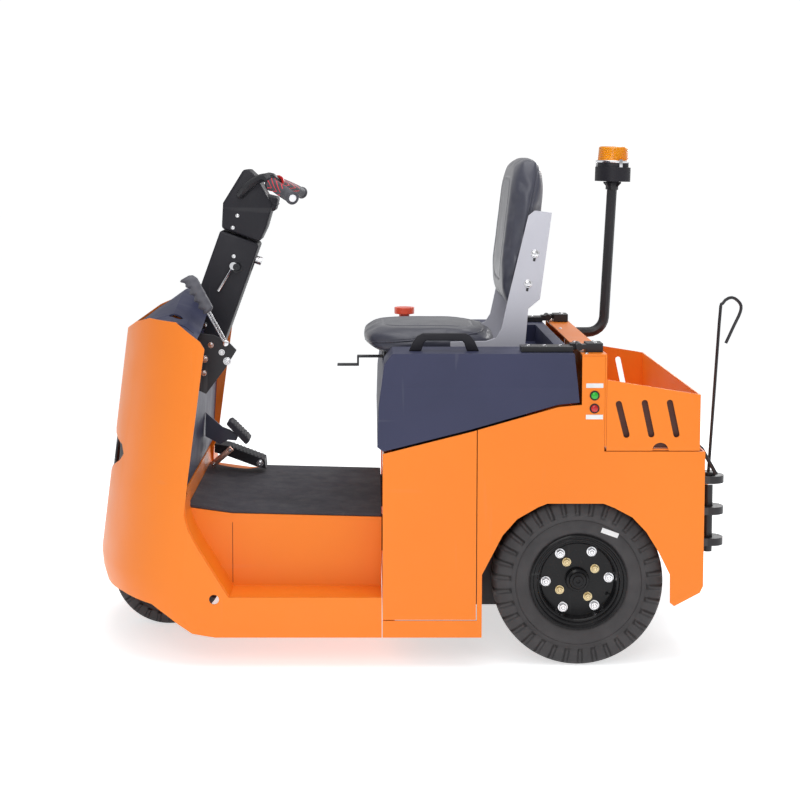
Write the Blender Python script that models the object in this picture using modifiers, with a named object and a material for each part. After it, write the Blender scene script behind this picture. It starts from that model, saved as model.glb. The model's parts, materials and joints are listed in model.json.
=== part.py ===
"""Three-wheel electric tow tractor for airport baggage carts, as separate solids.

Metres, +Z up. The front faces -Y and the driver's left is +X. The origin is on
the ground, below the middle of the machine.
"""

import math

import bmesh
import bpy
from mathutils import Matrix, Quaternion, Vector

# Driving dimensions: lengths run from front to rear and add up to the machine.
BODY_WIDTH = 0.80
FRONT_END_LENGTH = 0.256  # nose tip to the foot of the leg shield
FOOTWELL_LENGTH = 0.477  # leg shield to the seat box
BODY_LENGTH = 0.771  # seat box front to the rear wall
HITCH_REACH = 0.177  # rear wall to the end of the pin's loop

SILL_HEIGHT = 0.0785  # underside of the side rails
LEDGE_HEIGHT = 0.177  # step ledge at its outer edge
FLOOR_HEIGHT = 0.356  # top of the mat at the seat box
FLOOR_RISE = 0.024  # the mat climbs this much towards the front
HOOD_HEIGHT = 0.767
SHEET = 0.004  # body panels
MAT = 0.007
GAP = 0.0005  # between pieces that touch
SWING = 0.0055  # between pieces that move past each other
SEAM = 0.002  # visible joint between neighbouring panels

NOSE_DEPTH = 0.25  # fore and aft half axis of the oval nose
NOSE_LEAN = 0.129  # the nose skin leans back by this much for each metre up
LIP_HEIGHT = 0.226  # the nose curls in below this height
LIP_FOOT = 0.155
LIP_CURL = 0.013
RECESS_DEPTH = 0.11  # footwell sides, inward from the skin

REAR_WHEEL_RADIUS = 0.2075
REAR_WHEEL_WIDTH = 0.105
REAR_WHEEL_INSET = 0.022  # skin to the outer face of the tyre
REAR_RIM_RADIUS = 0.489 * REAR_WHEEL_RADIUS
REAR_AXLE = 0.475  # behind the seat box front
FRONT_WHEEL_RADIUS = 0.146
FRONT_WHEEL_WIDTH = 0.080
FRONT_RIM_RADIUS = 0.452 * FRONT_WHEEL_RADIUS
FRONT_AXLE = -0.085  # ahead of the leg shield
STUB_RADIUS = 0.010
BORE_CLEARANCE = 0.0010
KINGPIN_RADIUS = 0.014

COLUMN_TILT = math.radians(20)
COLUMN_WIDTH = 0.120
COLUMN_DEPTH = 0.107
COLUMN_CLEARANCE = 0.0012
COLUMN_TOP = (0.1105, 1.0275)  # behind the leg shield, height
HINGE_Y = 0.473  # behind the seat box front
HINGE_RISE = 0.013  # pin above the hood
HINGE_X = 0.340
SEAT_DROP = 0.0465  # seat well floor below the hood's top
SEAT_WELL = 0.250
DECK_START = 0.475
DECK_END = 0.534
TRAY_FLOOR = 0.535
BRACKET_X = 0.190
BRACKET_SHEET = 0.004
CUSHION_GAP = 0.004
BEACON_X = -0.270
BUTTON_Y = 0.505  # behind the seat box front
BUTTON_Z = (0.668, 0.637)  # green above, red below
BUTTON_RADIUS = 0.0095
BUTTON_RING_RADIUS = 0.0125
BUTTON_RIM = 0.002
BUTTON_REACH = 0.0055
HITCH_HOLE = 0.8655  # behind the seat box front
PIN_RADIUS = 0.0125
PIN_CLEARANCE = 0.0012

HALF = BODY_WIDTH / 2
LENGTH = FRONT_END_LENGTH + FOOTWELL_LENGTH + BODY_LENGTH + HITCH_REACH
NOSE_Y = -LENGTH / 2
SHIELD_Y = NOSE_Y + FRONT_END_LENGTH
BOX_Y = SHIELD_Y + FOOTWELL_LENGTH
TAIL_Y = BOX_Y + BODY_LENGTH
WELL_X = HALF - RECESS_DEPTH
RAIL_X = HALF - REAR_WHEEL_INSET - REAR_WHEEL_WIDTH - 0.018
RAIL_WIDTH = 0.020
RAIL_ROOM = 0.002
RAIL_FOOT = REAR_WHEEL_RADIUS + 0.048
RAIL_TOP = FLOOR_HEIGHT - MAT - SHEET - 3 * GAP
SEAT_FLOOR = HOOD_HEIGHT - SEAT_DROP
HINGE_Z = HOOD_HEIGHT + HINGE_RISE

ORANGE = (0.87, 0.22, 0.03)
NAVY = (0.045, 0.050, 0.095)
BLACK = (0.020, 0.020, 0.022)
RUBBER = (0.030, 0.028, 0.030)
STEEL = (0.60, 0.61, 0.66)
IRON = (0.035, 0.035, 0.040)

for old in list(bpy.data.objects):
    bpy.data.objects.remove(old)

parts = bpy.data.collections.new("baggage_tug")
tools = bpy.data.collections.new("cutters")
bpy.context.scene.collection.children.link(parts)
bpy.context.scene.collection.children.link(tools)


def front(y, z):
    """A side-view point measured from the foot of the leg shield."""
    return (SHIELD_Y + y, z)


def rear(y, z):
    """A side-view point measured from the front of the seat box."""
    return (BOX_Y + y, z)


def rounded(points, radius, steps=4):
    """The outline with its corners turned into arcs of this radius."""
    result = []
    for index, point in enumerate(points):
        corner = Vector(point)
        before = (Vector(points[index - 1]) - corner).normalized()
        after = (Vector(points[(index + 1) % len(points)]) - corner).normalized()
        half_angle = before.angle(after) / 2
        reach = radius / math.tan(half_angle)
        centre = corner + (before + after).normalized() * radius / math.sin(half_angle)
        start = corner + before * reach - centre
        end = corner + after * reach - centre
        turn = start.angle_signed(end)
        for step in range(steps + 1):
            angle = -turn * step / steps
            arm = Matrix.Rotation(angle, 2) @ start
            result.append(tuple(centre + arm))
    return result


def add_object(name, data):
    obj = bpy.data.objects.new(name, data)
    parts.objects.link(obj)
    return obj


def as_data(name, shape):
    mesh = bpy.data.meshes.new(name)
    shape.to_mesh(mesh)
    shape.free()
    return mesh


def from_bmesh(name, shape):
    """Makes an object of a closed shape, its faces turned outwards."""
    bmesh.ops.recalc_face_normals(shape, faces=shape.faces)
    if shape.calc_volume(signed=True) < 0:
        bmesh.ops.reverse_faces(shape, faces=shape.faces)
    return add_object(name, as_data(name, shape))


def box(name, low, high):
    shape = bmesh.new()
    bmesh.ops.create_cube(shape, size=1)
    size = Vector(high) - Vector(low)
    bmesh.ops.scale(shape, vec=size, verts=shape.verts)
    bmesh.ops.translate(shape, vec=(Vector(low) + Vector(high)) / 2, verts=shape.verts)
    return from_bmesh(name, shape)


def cylinder(name, radius, start, end, segments=24, end_radius=None):
    """A round bar from one point to another, or a cone where the ends differ."""
    start, end = Vector(start), Vector(end)
    shape = bmesh.new()
    bmesh.ops.create_cone(
        shape,
        cap_ends=True,
        segments=segments,
        radius1=radius,
        radius2=radius if end_radius is None else end_radius,
        depth=(end - start).length,
    )
    turn = (end - start).to_track_quat("Z", "Y").to_matrix().to_4x4()
    bmesh.ops.transform(shape, matrix=Matrix.Translation((start + end) / 2) @ turn, verts=shape.verts)
    obj = from_bmesh(name, shape)
    obj.data.shade_smooth()
    obj.data.set_sharp_from_angle(angle=math.radians(40))
    return obj


def as_mesh(curve, name):
    """Turns a curve object into a mesh object with its caps welded on."""
    bpy.context.view_layer.update()
    graph = bpy.context.evaluated_depsgraph_get()
    mesh = bpy.data.meshes.new_from_object(curve.evaluated_get(graph))
    matrix = curve.matrix_world.copy()
    bpy.data.objects.remove(curve)
    shape = bmesh.new()
    shape.from_mesh(mesh)
    bmesh.ops.remove_doubles(shape, verts=shape.verts, dist=0.00001)
    shape.transform(matrix)
    bpy.data.meshes.remove(mesh)
    return from_bmesh(name, shape)


def outline(name, points, thickness, matrix):
    """A flat outline of the given thickness, its middle plane placed by the matrix."""
    data = bpy.data.curves.new(name, "CURVE")
    data.dimensions = "2D"
    data.fill_mode = "BOTH"
    data.extrude = thickness / 2
    spline = data.splines.new("POLY")
    spline.points.add(len(points) - 1)
    for point, (across, up) in zip(spline.points, points):
        point.co = (across, up, 0, 1)
    spline.use_cyclic_u = True
    curve = add_object(name, data)
    curve.matrix_world = matrix
    return as_mesh(curve, name)


def side_plate(name, points, x_from, x_to):
    """An outline drawn in the side view (y, z), running from one x to another."""
    side = Matrix(((0, 0, 1, 0), (1, 0, 0, 0), (0, 1, 0, 0), (0, 0, 0, 1)))
    place = Matrix.Translation(((x_from + x_to) / 2, 0, 0)) @ side
    return outline(name, points, abs(x_to - x_from), place)


def front_plate(name, points, y_from, y_to):
    """An outline drawn in the front view (x, z)."""
    face = Matrix(((1, 0, 0, 0), (0, 0, 1, 0), (0, 1, 0, 0), (0, 0, 0, 1)))
    place = Matrix.Translation((0, (y_from + y_to) / 2, 0)) @ face
    return outline(name, points, abs(y_to - y_from), place)


def plan_plate(name, points, z_from, z_to):
    """An outline drawn in the plan view (x, y)."""
    place = Matrix.Translation((0, 0, (z_from + z_to) / 2))
    return outline(name, points, abs(z_to - z_from), place)


def bent_sheet(name, points, x_from, x_to, thickness=SHEET):
    """A sheet folded along the side-view points, thickened to their right."""
    shape = bmesh.new()
    row = [shape.verts.new((x_from, y, z)) for y, z in points]
    edges = [shape.edges.new(pair) for pair in zip(row, row[1:])]
    swept = bmesh.ops.extrude_edge_only(shape, edges=edges)["geom"]
    moved = [item for item in swept if isinstance(item, bmesh.types.BMVert)]
    bmesh.ops.translate(shape, vec=(x_to - x_from, 0, 0), verts=moved)
    bmesh.ops.recalc_face_normals(shape, faces=shape.faces)
    run, climb = points[1][0] - points[0][0], points[1][1] - points[0][1]
    if row[0].link_faces[0].normal.dot(Vector((0, -climb, run))) < 0:
        bmesh.ops.reverse_faces(shape, faces=shape.faces)
    obj = add_object(name, as_data(name, shape))
    solid = obj.modifiers.new("sheet", "SOLIDIFY")
    solid.thickness = thickness
    solid.offset = -1
    solid.use_even_offset = True
    return obj


def tube(name, points, radius, resolution=3, rounding=0.0):
    """A round bar along the points, its bends rounded to arcs."""
    path = [Vector(point) for point in points]
    if rounding:
        path = bend(path, rounding)
    data = bpy.data.curves.new(name, "CURVE")
    data.dimensions = "3D"
    data.bevel_depth = radius
    data.bevel_resolution = resolution
    data.use_fill_caps = True
    spline = data.splines.new("POLY")
    spline.points.add(len(path) - 1)
    for point, place in zip(spline.points, path):
        point.co = (*place, 1)
    return as_mesh(add_object(name, data), name)


def bend(path, radius, steps=6):
    """The path with each inner corner replaced by an arc of this radius."""
    result = [path[0]]
    for before, corner, after in zip(path, path[1:], path[2:]):
        back = (before - corner).normalized()
        ahead = (after - corner).normalized()
        half_angle = back.angle(ahead) / 2
        reach = radius / math.tan(half_angle)
        centre = corner + (back + ahead).normalized() * radius / math.sin(half_angle)
        start = corner + back * reach - centre
        end = corner + ahead * reach - centre
        turn = start.rotation_difference(end)
        for step in range(steps + 1):
            share = Quaternion().slerp(turn, step / steps)
            result.append(centre + share @ start)
    return result + [path[-1]]


def turned(name, profile, centre, segments=32):
    """A ring turned about the x axis: profile points are (x, radius), closed."""
    shape = bmesh.new()
    ring = [shape.verts.new((x, 0, radius)) for x, radius in profile]
    for pair in zip(ring, ring[1:] + ring[:1]):
        shape.edges.new(pair)
    bmesh.ops.spin(
        shape,
        geom=shape.verts[:] + shape.edges[:],
        cent=(0, 0, 0),
        axis=(1, 0, 0),
        angle=math.tau,
        steps=segments,
        use_merge=True,
    )
    bmesh.ops.remove_doubles(shape, verts=shape.verts, dist=0.00001)
    obj = from_bmesh(name, shape)
    obj.data.transform(Matrix.Translation(centre))
    obj.data.shade_smooth()
    obj.data.set_sharp_from_angle(angle=math.radians(35))
    return obj


def combine(target, others, operation):
    for other in others:
        parts.objects.unlink(other)
        tools.objects.link(other)
        other.hide_render = True
        other.display_type = "WIRE"
        step = target.modifiers.new(operation.lower(), "BOOLEAN")
        step.operation = operation
        step.object = other
        step.solver = "EXACT"
    return target


def cut(target, *others):
    return combine(target, others, "DIFFERENCE")


def join(target, *others):
    return combine(target, others, "UNION")


def keep_inside(target, *others):
    return combine(target, others, "INTERSECT")


def soften(obj, width, segments=2):
    edge = obj.modifiers.new("edges", "BEVEL")
    edge.width = width
    edge.segments = segments
    edge.limit_method = "ANGLE"
    edge.angle_limit = math.radians(40)
    return obj


def finish(obj, colour, roughness=0.45, metallic=0.0, axis=None):
    """Gives a piece its own material, and its parent where it moves."""
    surface = bpy.data.materials.new(obj.name)
    surface.use_nodes = True
    shader = surface.node_tree.nodes["Principled BSDF"]
    shader.inputs["Base Color"].default_value = (*colour, 1)
    shader.inputs["Roughness"].default_value = roughness
    shader.inputs["Metallic"].default_value = metallic
    obj.data.materials.clear()
    obj.data.materials.append(surface)
    if axis:
        obj.parent = axis
        obj.matrix_parent_inverse = axis.matrix_world.inverted()
    return obj


def joint_axis(name, place, parent=None):
    """An empty on a joint's axis, which the moving pieces hang on."""
    axis = bpy.data.objects.new(name, None)
    axis.location = place
    parts.objects.link(axis)
    bpy.context.view_layer.update()
    if parent:
        axis.parent = parent
        axis.matrix_parent_inverse = parent.matrix_world.inverted()
    return axis


def nose_shift(z):
    """How far back the nose skin stands at a height: it leans back, and its lip curls in."""
    if z < LIP_HEIGHT:
        return LIP_CURL * ((LIP_HEIGHT - z) / (LIP_HEIGHT - LIP_FOOT)) ** 2
    return (z - LIP_HEIGHT) * NOSE_LEAN


def nose_y(x, z, inset):
    """How far back the nose's inset surface stands at a place across and up."""
    share = x / (HALF - inset)
    return NOSE_Y + NOSE_DEPTH - (NOSE_DEPTH - inset) * math.sqrt(1 - share * share) + nose_shift(z)


def nose_solid(name, inset, rear_end, low=0.06, top=0.86):
    """The volume inside the nose skin, moved in by an inset: oval in plan."""
    levels = (low, LIP_FOOT, (LIP_FOOT + LIP_HEIGHT) / 2, LIP_HEIGHT, top)
    steps = 28
    centre_y = NOSE_Y + NOSE_DEPTH
    plan = [(HALF - inset, rear_end)]
    for step in range(steps + 1):
        angle = math.pi / 2 - math.pi * step / steps
        plan.append(((HALF - inset) * math.sin(angle), centre_y - (NOSE_DEPTH - inset) * math.cos(angle)))
    plan.append((inset - HALF, rear_end))
    shape = bmesh.new()
    rings = []
    for z in levels:
        rings.append([shape.verts.new((x, y + nose_shift(z), z)) for x, y in plan])
    for ring in rings:
        for pair in zip(ring, ring[1:] + ring[:1]):
            shape.edges.new(pair)
    for lower, upper in zip(rings, rings[1:]):
        edges = [shape.edges.get(pair) for ring in (lower, upper) for pair in zip(ring, ring[1:] + ring[:1])]
        bmesh.ops.bridge_loops(shape, edges=edges)
    shape.faces.new(rings[0])
    shape.faces.new(rings[-1])
    return from_bmesh(name, shape)


def between(value, table):
    """Straight-line interpolation in a short table of (value, result)."""
    for (low, first), (high, second) in zip(table, table[1:]):
        if value <= high:
            share = max(0.0, (value - low) / (high - low))
            return first + (second - first) * share
    return table[-1][1]


# ---------------------------------------------------------------- front end


SIDE_HOLE = (0.071, 0.172)  # from the foot of the leg shield


def make_front_cowl():
    skin = nose_solid("front_cowl", 0, BOX_Y + 0.3)
    hollow = nose_solid("cowl_hollow", SHEET, BOX_Y + 0.6, 0.03, 0.95)
    side_view = side_plate(
        "cowl_side_view",
        [
            front(-0.300, 0.720),
            front(-0.181, 0.7935),
            front(-0.134, 0.827),
            front(-0.091, 0.843),
            front(-0.018, 0.840),
            front(0.042, 0.796),
            front(0.053, 0.778),
            front(0.047, 0.739),
            front(0.010, 0.463),
            front(0.000, 0.377),
            front(0.010, 0.341),
            front(0.030, 0.301),
            front(0.106, LEDGE_HEIGHT),
            rear(-SEAM, LEDGE_HEIGHT),
            rear(-SEAM, SILL_HEIGHT),
            front(0.074, SILL_HEIGHT),
            front(0.017, 0.087),
            front(-0.018, 0.109),
            front(-0.048, 0.130),
            front(-0.084, 0.1535),
            front(-0.168, 0.163),
            front(-0.300, 0.155),
        ],
        -HALF - 0.05,
        HALF + 0.05,
    )
    hole_place = front(*SIDE_HOLE)
    side_hole = cylinder("cowl_side_hole", 0.012, (-BODY_WIDTH, *hole_place), (BODY_WIDTH, *hole_place))
    lamp_opening = front_plate("lamp_opening", lamp_outline(0), NOSE_Y - 0.05, NOSE_Y + 0.15)
    cut(keep_inside(cut(skin, hollow), side_view), side_hole, lamp_opening)
    return finish(skin, ORANGE, 0.35)


def lamp_outline(margin):
    """Headlamp opening in the nose, wide and pointed at its ends."""
    half = [
        (0.090, 0.427 - margin),
        (0.225 + margin, 0.478 - margin),
        (0.250 + margin, 0.499),
        (0.228 + margin, 0.519 + margin),
        (0.090, 0.536 + margin),
    ]
    return half + [(-x, z) for x, z in reversed(half)]


LAMP_X = 0.165
LAMP_Z = 0.486
LAMP_RADIUS = 0.034
LAMP_DEPTH = 0.040
LAMP_SETBACK = 0.003  # behind the panel's inner face, at the lamp's outer edge


def make_lamps():
    inset = SHEET + GAP
    panel = nose_solid("lamp_panel", inset, BOX_Y)
    behind = nose_solid("lamp_panel_hollow", inset + SHEET, BOX_Y + 0.2, 0.03, 0.95)
    shape = front_plate("lamp_panel_outline", lamp_outline(0.012), NOSE_Y - 0.05, NOSE_Y + 0.20)
    keep_inside(cut(panel, behind), shape)
    depth = nose_y(LAMP_X + LAMP_RADIUS, LAMP_Z, inset + SHEET) + LAMP_SETBACK
    for side, x in (("left", LAMP_X), ("right", -LAMP_X)):
        hole = cylinder("lamp_hole", LAMP_RADIUS + 0.001, (x, NOSE_Y, LAMP_Z), (x, SHIELD_Y, LAMP_Z), 28)
        cut(panel, hole)
        rear_face = (x, depth + LAMP_DEPTH, LAMP_Z)
        lamp = cylinder("headlamp_" + side, LAMP_RADIUS, (x, depth, LAMP_Z), rear_face, 28)
        finish(lamp, (0.75, 0.77, 0.82), 0.15, 0.6)
    finish(panel, BLACK, 0.5)


DASH_EDGE = (
    (-0.25, 0.735),
    (-0.134, 0.823),
    (-0.0825, 0.839),
    (-0.0365, 0.837),
    (0.0, 0.823),
    (0.032, 0.799),
)
DASH_RIDGE = ((-0.25, 0.735), (-0.181, 0.785), (-0.0365, 0.889), (0.0, 0.877), (0.032, 0.850))
DASH_HOLE_X = (0.270, 0.335)  # oval hole, long slot


def dash_height(x, y):
    """Height of the dash cover's upper face at a distance y behind the leg shield."""
    edge = between(y, DASH_EDGE)
    ridge = between(y, DASH_RIDGE)
    share = 0.5 + 0.5 * math.cos(math.pi * min(1, abs(x) / (HALF - 0.02)))
    return edge + (ridge - edge) * share


def make_dash_cover():
    rows = (-0.24, -0.20, -0.17, -0.134, -0.0825, -0.0365, 0.0, 0.032)
    columns = 17
    shape = bmesh.new()
    bmesh.ops.create_grid(shape, x_segments=columns - 1, y_segments=len(rows) - 1, size=1)
    for vert in shape.verts:
        row = rows[round((vert.co.y + 1) / 2 * (len(rows) - 1))]
        x = vert.co.x * (HALF + 0.01)
        vert.co = (x, SHIELD_Y + row, dash_height(x, row))
    shape.normal_update()
    if min(face.normal.z for face in shape.faces) < 0:
        bmesh.ops.reverse_faces(shape, faces=shape.faces)
    cover = add_object("dash_cover", as_data("dash_cover", shape))
    solid = cover.modifiers.new("sheet", "SOLIDIFY")
    solid.thickness = SHEET
    solid.offset = -1
    inside = nose_solid("dash_limit", SHEET + GAP, BOX_Y, 0.5, 0.95)
    keep_inside(cover, inside)
    column = column_block("dash_column_hole", COLUMN_CLEARANCE, 0.4)
    hole_x, slot_x = DASH_HOLE_X
    y = SHIELD_Y
    slot = box("dash_slot", (slot_x - 0.005, y - 0.021, 0.80), (slot_x + 0.005, y + 0.021, 0.92))
    hole = cylinder("dash_hole", 0.017, (hole_x, SHIELD_Y - 0.030, 0.78), (hole_x, SHIELD_Y - 0.030, 0.95))
    cut(cover, column, slot, hole)
    return finish(cover, NAVY, 0.4)


def column_point(along, across=0.0):
    """A side-view point on the steering column: along its axis from the joint, and behind it."""
    y = COLUMN_TOP[0] + along * math.sin(COLUMN_TILT) + across * math.cos(COLUMN_TILT)
    z = COLUMN_TOP[1] + along * math.cos(COLUMN_TILT) - across * math.sin(COLUMN_TILT)
    return front(y, z)


COVER_LENGTH = 0.285


def column_block(name, margin, length):
    back = COLUMN_DEPTH / 2 + margin
    points = [
        column_point(0.0, -back),
        column_point(0.0, back),
        column_point(-length, back),
        column_point(-length, -back),
    ]
    return side_plate(name, points, -COLUMN_WIDTH / 2 - margin, COLUMN_WIDTH / 2 + margin)


def make_leg_shield():
    shield = bent_sheet(
        "leg_shield",
        [front(0.017, 0.790), front(-0.008, 0.420)],
        -HALF,
        HALF,
    )
    column = column_block("shield_column_hole", COLUMN_CLEARANCE, 0.4)
    inside = nose_solid("shield_limit", SHEET + GAP, BOX_Y, 0.3, 0.95)
    cut(keep_inside(shield, inside), column)
    return finish(shield, NAVY, 0.45)


def floor_line(offset):
    """The footwell floor in the side view, this far below the top of the mat."""
    top = FLOOR_HEIGHT - offset
    return [front(-0.002, top + FLOOR_RISE), front(0.106, top + 0.009), rear(-SEAM, top)]


def make_footwell():
    wall = WELL_X
    kick = [front(-0.006, FLOOR_HEIGHT + 0.061)]
    floor = bent_sheet("footwell_tub", kick + floor_line(MAT + GAP), -wall, wall)
    ledge_line = [
        front(0.004, FLOOR_HEIGHT + 0.060),
        front(0.001 + SEAM, 0.377),
        front(0.011 + SEAM, 0.341),
        front(0.031 + SEAM, 0.301),
        front(0.107 + SEAM, LEDGE_HEIGHT),
        rear(-SEAM, LEDGE_HEIGHT),
    ]
    for side in (1, -1):
        plate = side_plate(
            "tub_wall",
            [
                *floor_line(MAT + GAP + 0.001),
                rear(-SEAM, LEDGE_HEIGHT),
                front(0.106, LEDGE_HEIGHT),
                front(0.028, 0.301),
                front(-0.002, 0.345),
            ],
            side * (wall - SHEET),
            side * wall,
        )
        ledge = bent_sheet("tub_ledge", ledge_line, side * (wall - 0.002), side * (HALF - SHEET - GAP))
        join(floor, plate, ledge)
    keep_inside(floor, nose_solid("tub_limit", SHEET + GAP, BOX_Y + 0.1, 0.03, 0.95))
    return finish(floor, ORANGE, 0.35)


def make_floor_mat():
    top = floor_line(0)
    bottom = floor_line(MAT)
    half = WELL_X - 0.003
    mat = side_plate("floor_mat", top + bottom[::-1], -half, half)
    x, y = -WELL_X - 0.010, SHIELD_Y + 0.066
    notch = cylinder("mat_notch", 0.082, (x, y, 0.3), (x, y, 0.5), 32)
    cut(mat, notch)
    return finish(mat, RUBBER, 0.8)


PEDAL_X = -0.100
ACCELERATOR_X = -0.201
BRAKE_X = 0.241  # bracket's middle plane


def make_controls():
    arm = side_plate(
        "brake_pedal_arm",
        [
            front(0.002, 0.545),
            front(0.047, 0.505),
            front(0.067, 0.497),
            front(0.090, 0.482),
            front(0.084, 0.468),
            front(0.062, 0.470),
            front(0.040, 0.458),
            front(0.000, 0.480),
        ],
        PEDAL_X - 0.004,
        PEDAL_X + 0.004,
    )
    finish(arm, NAVY, 0.45)
    pad_line = [front(0.058, 0.520), front(0.072, 0.526), front(0.124, 0.474), front(0.113, 0.462)]
    pad_line = rounded(pad_line, 0.004, 2)
    pad = side_plate("brake_pedal_pad", pad_line, PEDAL_X - 0.035, PEDAL_X + 0.035)
    peg_foot, peg_top = front(0.086, 0.4925), front(0.095, 0.4985)
    join(pad, cylinder("pad_peg", 0.004, (PEDAL_X, *peg_foot), (PEDAL_X, *peg_top), 12))
    finish(pad, RUBBER, 0.7)
    pedal = side_plate(
        "accelerator_pedal",
        [
            front(0.018, 0.446),
            front(0.056, 0.440),
            front(0.156, 0.402),
            front(0.159, 0.377),
            front(0.134, 0.382),
            front(0.051, 0.413),
            front(0.018, 0.422),
        ],
        ACCELERATOR_X - 0.035,
        ACCELERATOR_X + 0.035,
    )
    finish(pedal, BLACK, 0.6)
    bracket = side_plate(
        "parking_brake_bracket",
        [
            front(0.020, 0.800),
            front(0.060, 0.795),
            front(0.097, 0.777),
            front(0.116, 0.757),
            front(0.088, 0.712),
            front(0.040, 0.648),
            front(0.014, 0.660),
        ],
        BRAKE_X - 0.004,
        BRAKE_X + 0.004,
    )
    finish(bracket, BLACK, 0.5)
    lever_x = BRAKE_X + 0.0105
    foot, root, tip = front(0.090, 0.776), front(0.048, 0.852), front(-0.002, 0.942)
    lever = cylinder("parking_brake_lever", 0.017, (lever_x, *root), (lever_x, *tip), 16)
    stem = cylinder("parking_brake_stem", 0.0055, (lever_x, *foot), (lever_x, *front(0.046, 0.856)), 12)
    join(lever, stem)
    finish(lever, (0.10, 0.10, 0.11), 0.6)


# ---------------------------------------------------------------- steering


def make_column(axis):
    cover = column_block("column_cover", 0, COVER_LENGTH)
    well = cylinder(
        "column_bore",
        0.0185,
        (0, *column_point(-0.06)),
        (0, *column_point(0.05)),
    )
    cut(soften(cover, 0.006), well)
    finish(cover, BLACK, 0.45)
    lift = SWING
    head = side_plate(
        "column_head",
        [
            column_point(lift, -0.052),
            column_point(0.068, -0.071),
            column_point(0.168, -0.050),
            column_point(0.172, -0.036),
            column_point(0.160, -0.008),
            column_point(0.105, 0.052),
            column_point(0.045, 0.056),
            column_point(lift, 0.052),
        ],
        -COLUMN_WIDTH / 2,
        COLUMN_WIDTH / 2,
    )
    soften(head, 0.006)
    spindle = cylinder("head_spindle", 0.0165, (0, *column_point(-0.05)), (0, *column_point(0.03)))
    join(head, spindle)
    finish(head, BLACK, 0.4, axis=axis)
    for side, sign in (("left", 1), ("right", -1)):
        start_x = COLUMN_WIDTH / 2 + GAP
        grip_start = Vector((start_x + 0.066, *column_point(0.160, 0.036)))
        grip_end = Vector((start_x + 0.200, *column_point(0.150, 0.102)))
        heading = (grip_end - grip_start).normalized()
        curve = smooth_path(
            [
                (start_x + 0.006, *column_point(0.105, -0.035)),
                (start_x + 0.024, *column_point(0.140, -0.018)),
                (start_x + 0.043, *column_point(0.168, 0.010)),
                grip_start - heading * 0.008,
            ],
            4,
        )
        arm = [Vector((start_x, *column_point(0.105, -0.035)))] + curve + [grip_start - heading * GAP]
        points = [(sign * x, y, z) for x, y, z in arm]
        bar = tube("handlebar_" + side, points, 0.011, 2)
        finish(bar, BLACK, 0.35, axis=axis)
        start = Vector((sign * grip_start.x, grip_start.y, grip_start.z))
        end = Vector((sign * grip_end.x, grip_end.y, grip_end.z))
        grip = cylinder("grip_" + side, 0.0165, start, end, 20)
        finish(grip, RUBBER, 0.6, axis=axis)


def smooth_path(points, steps):
    """A Catmull-Rom curve through the points."""
    points = [Vector(point) for point in points]
    ends = [points[0] * 2 - points[1]] + points + [points[-1] * 2 - points[-2]]
    result = []
    for a, b, c, d in zip(ends, ends[1:], ends[2:], ends[3:]):
        for step in range(steps):
            t = step / steps
            place = b * 2 + (c - a) * t + (a * 2 - b * 5 + c * 4 - d) * t * t + (b * 3 - a - c * 3 + d) * t**3
            result.append(place / 2)
    return result + [points[-1]]


def make_column_fittings():
    side = Vector((COLUMN_WIDTH / 2 + GAP, *column_point(-0.075, 0.010)))
    pivot = cylinder("column_lever", 0.010, side, side + Vector((0.010, 0, 0)), 16)
    tip = Vector((side.x + 0.006, *column_point(-0.150, -0.005)))
    stem = cylinder("column_lever_stem", 0.004, side + Vector((0.006, 0, 0)), tip, 10)
    join(pivot, stem)
    finish(pivot, STEEL, 0.3, 0.8)
    back = COLUMN_DEPTH / 2 + GAP
    face, tip = column_point(-0.045, back), column_point(-0.045, back + 0.018)
    key = cylinder("key_switch", 0.011, (0, *face), (0, *tip), 20)
    finish(key, STEEL, 0.3, 0.8)


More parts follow.
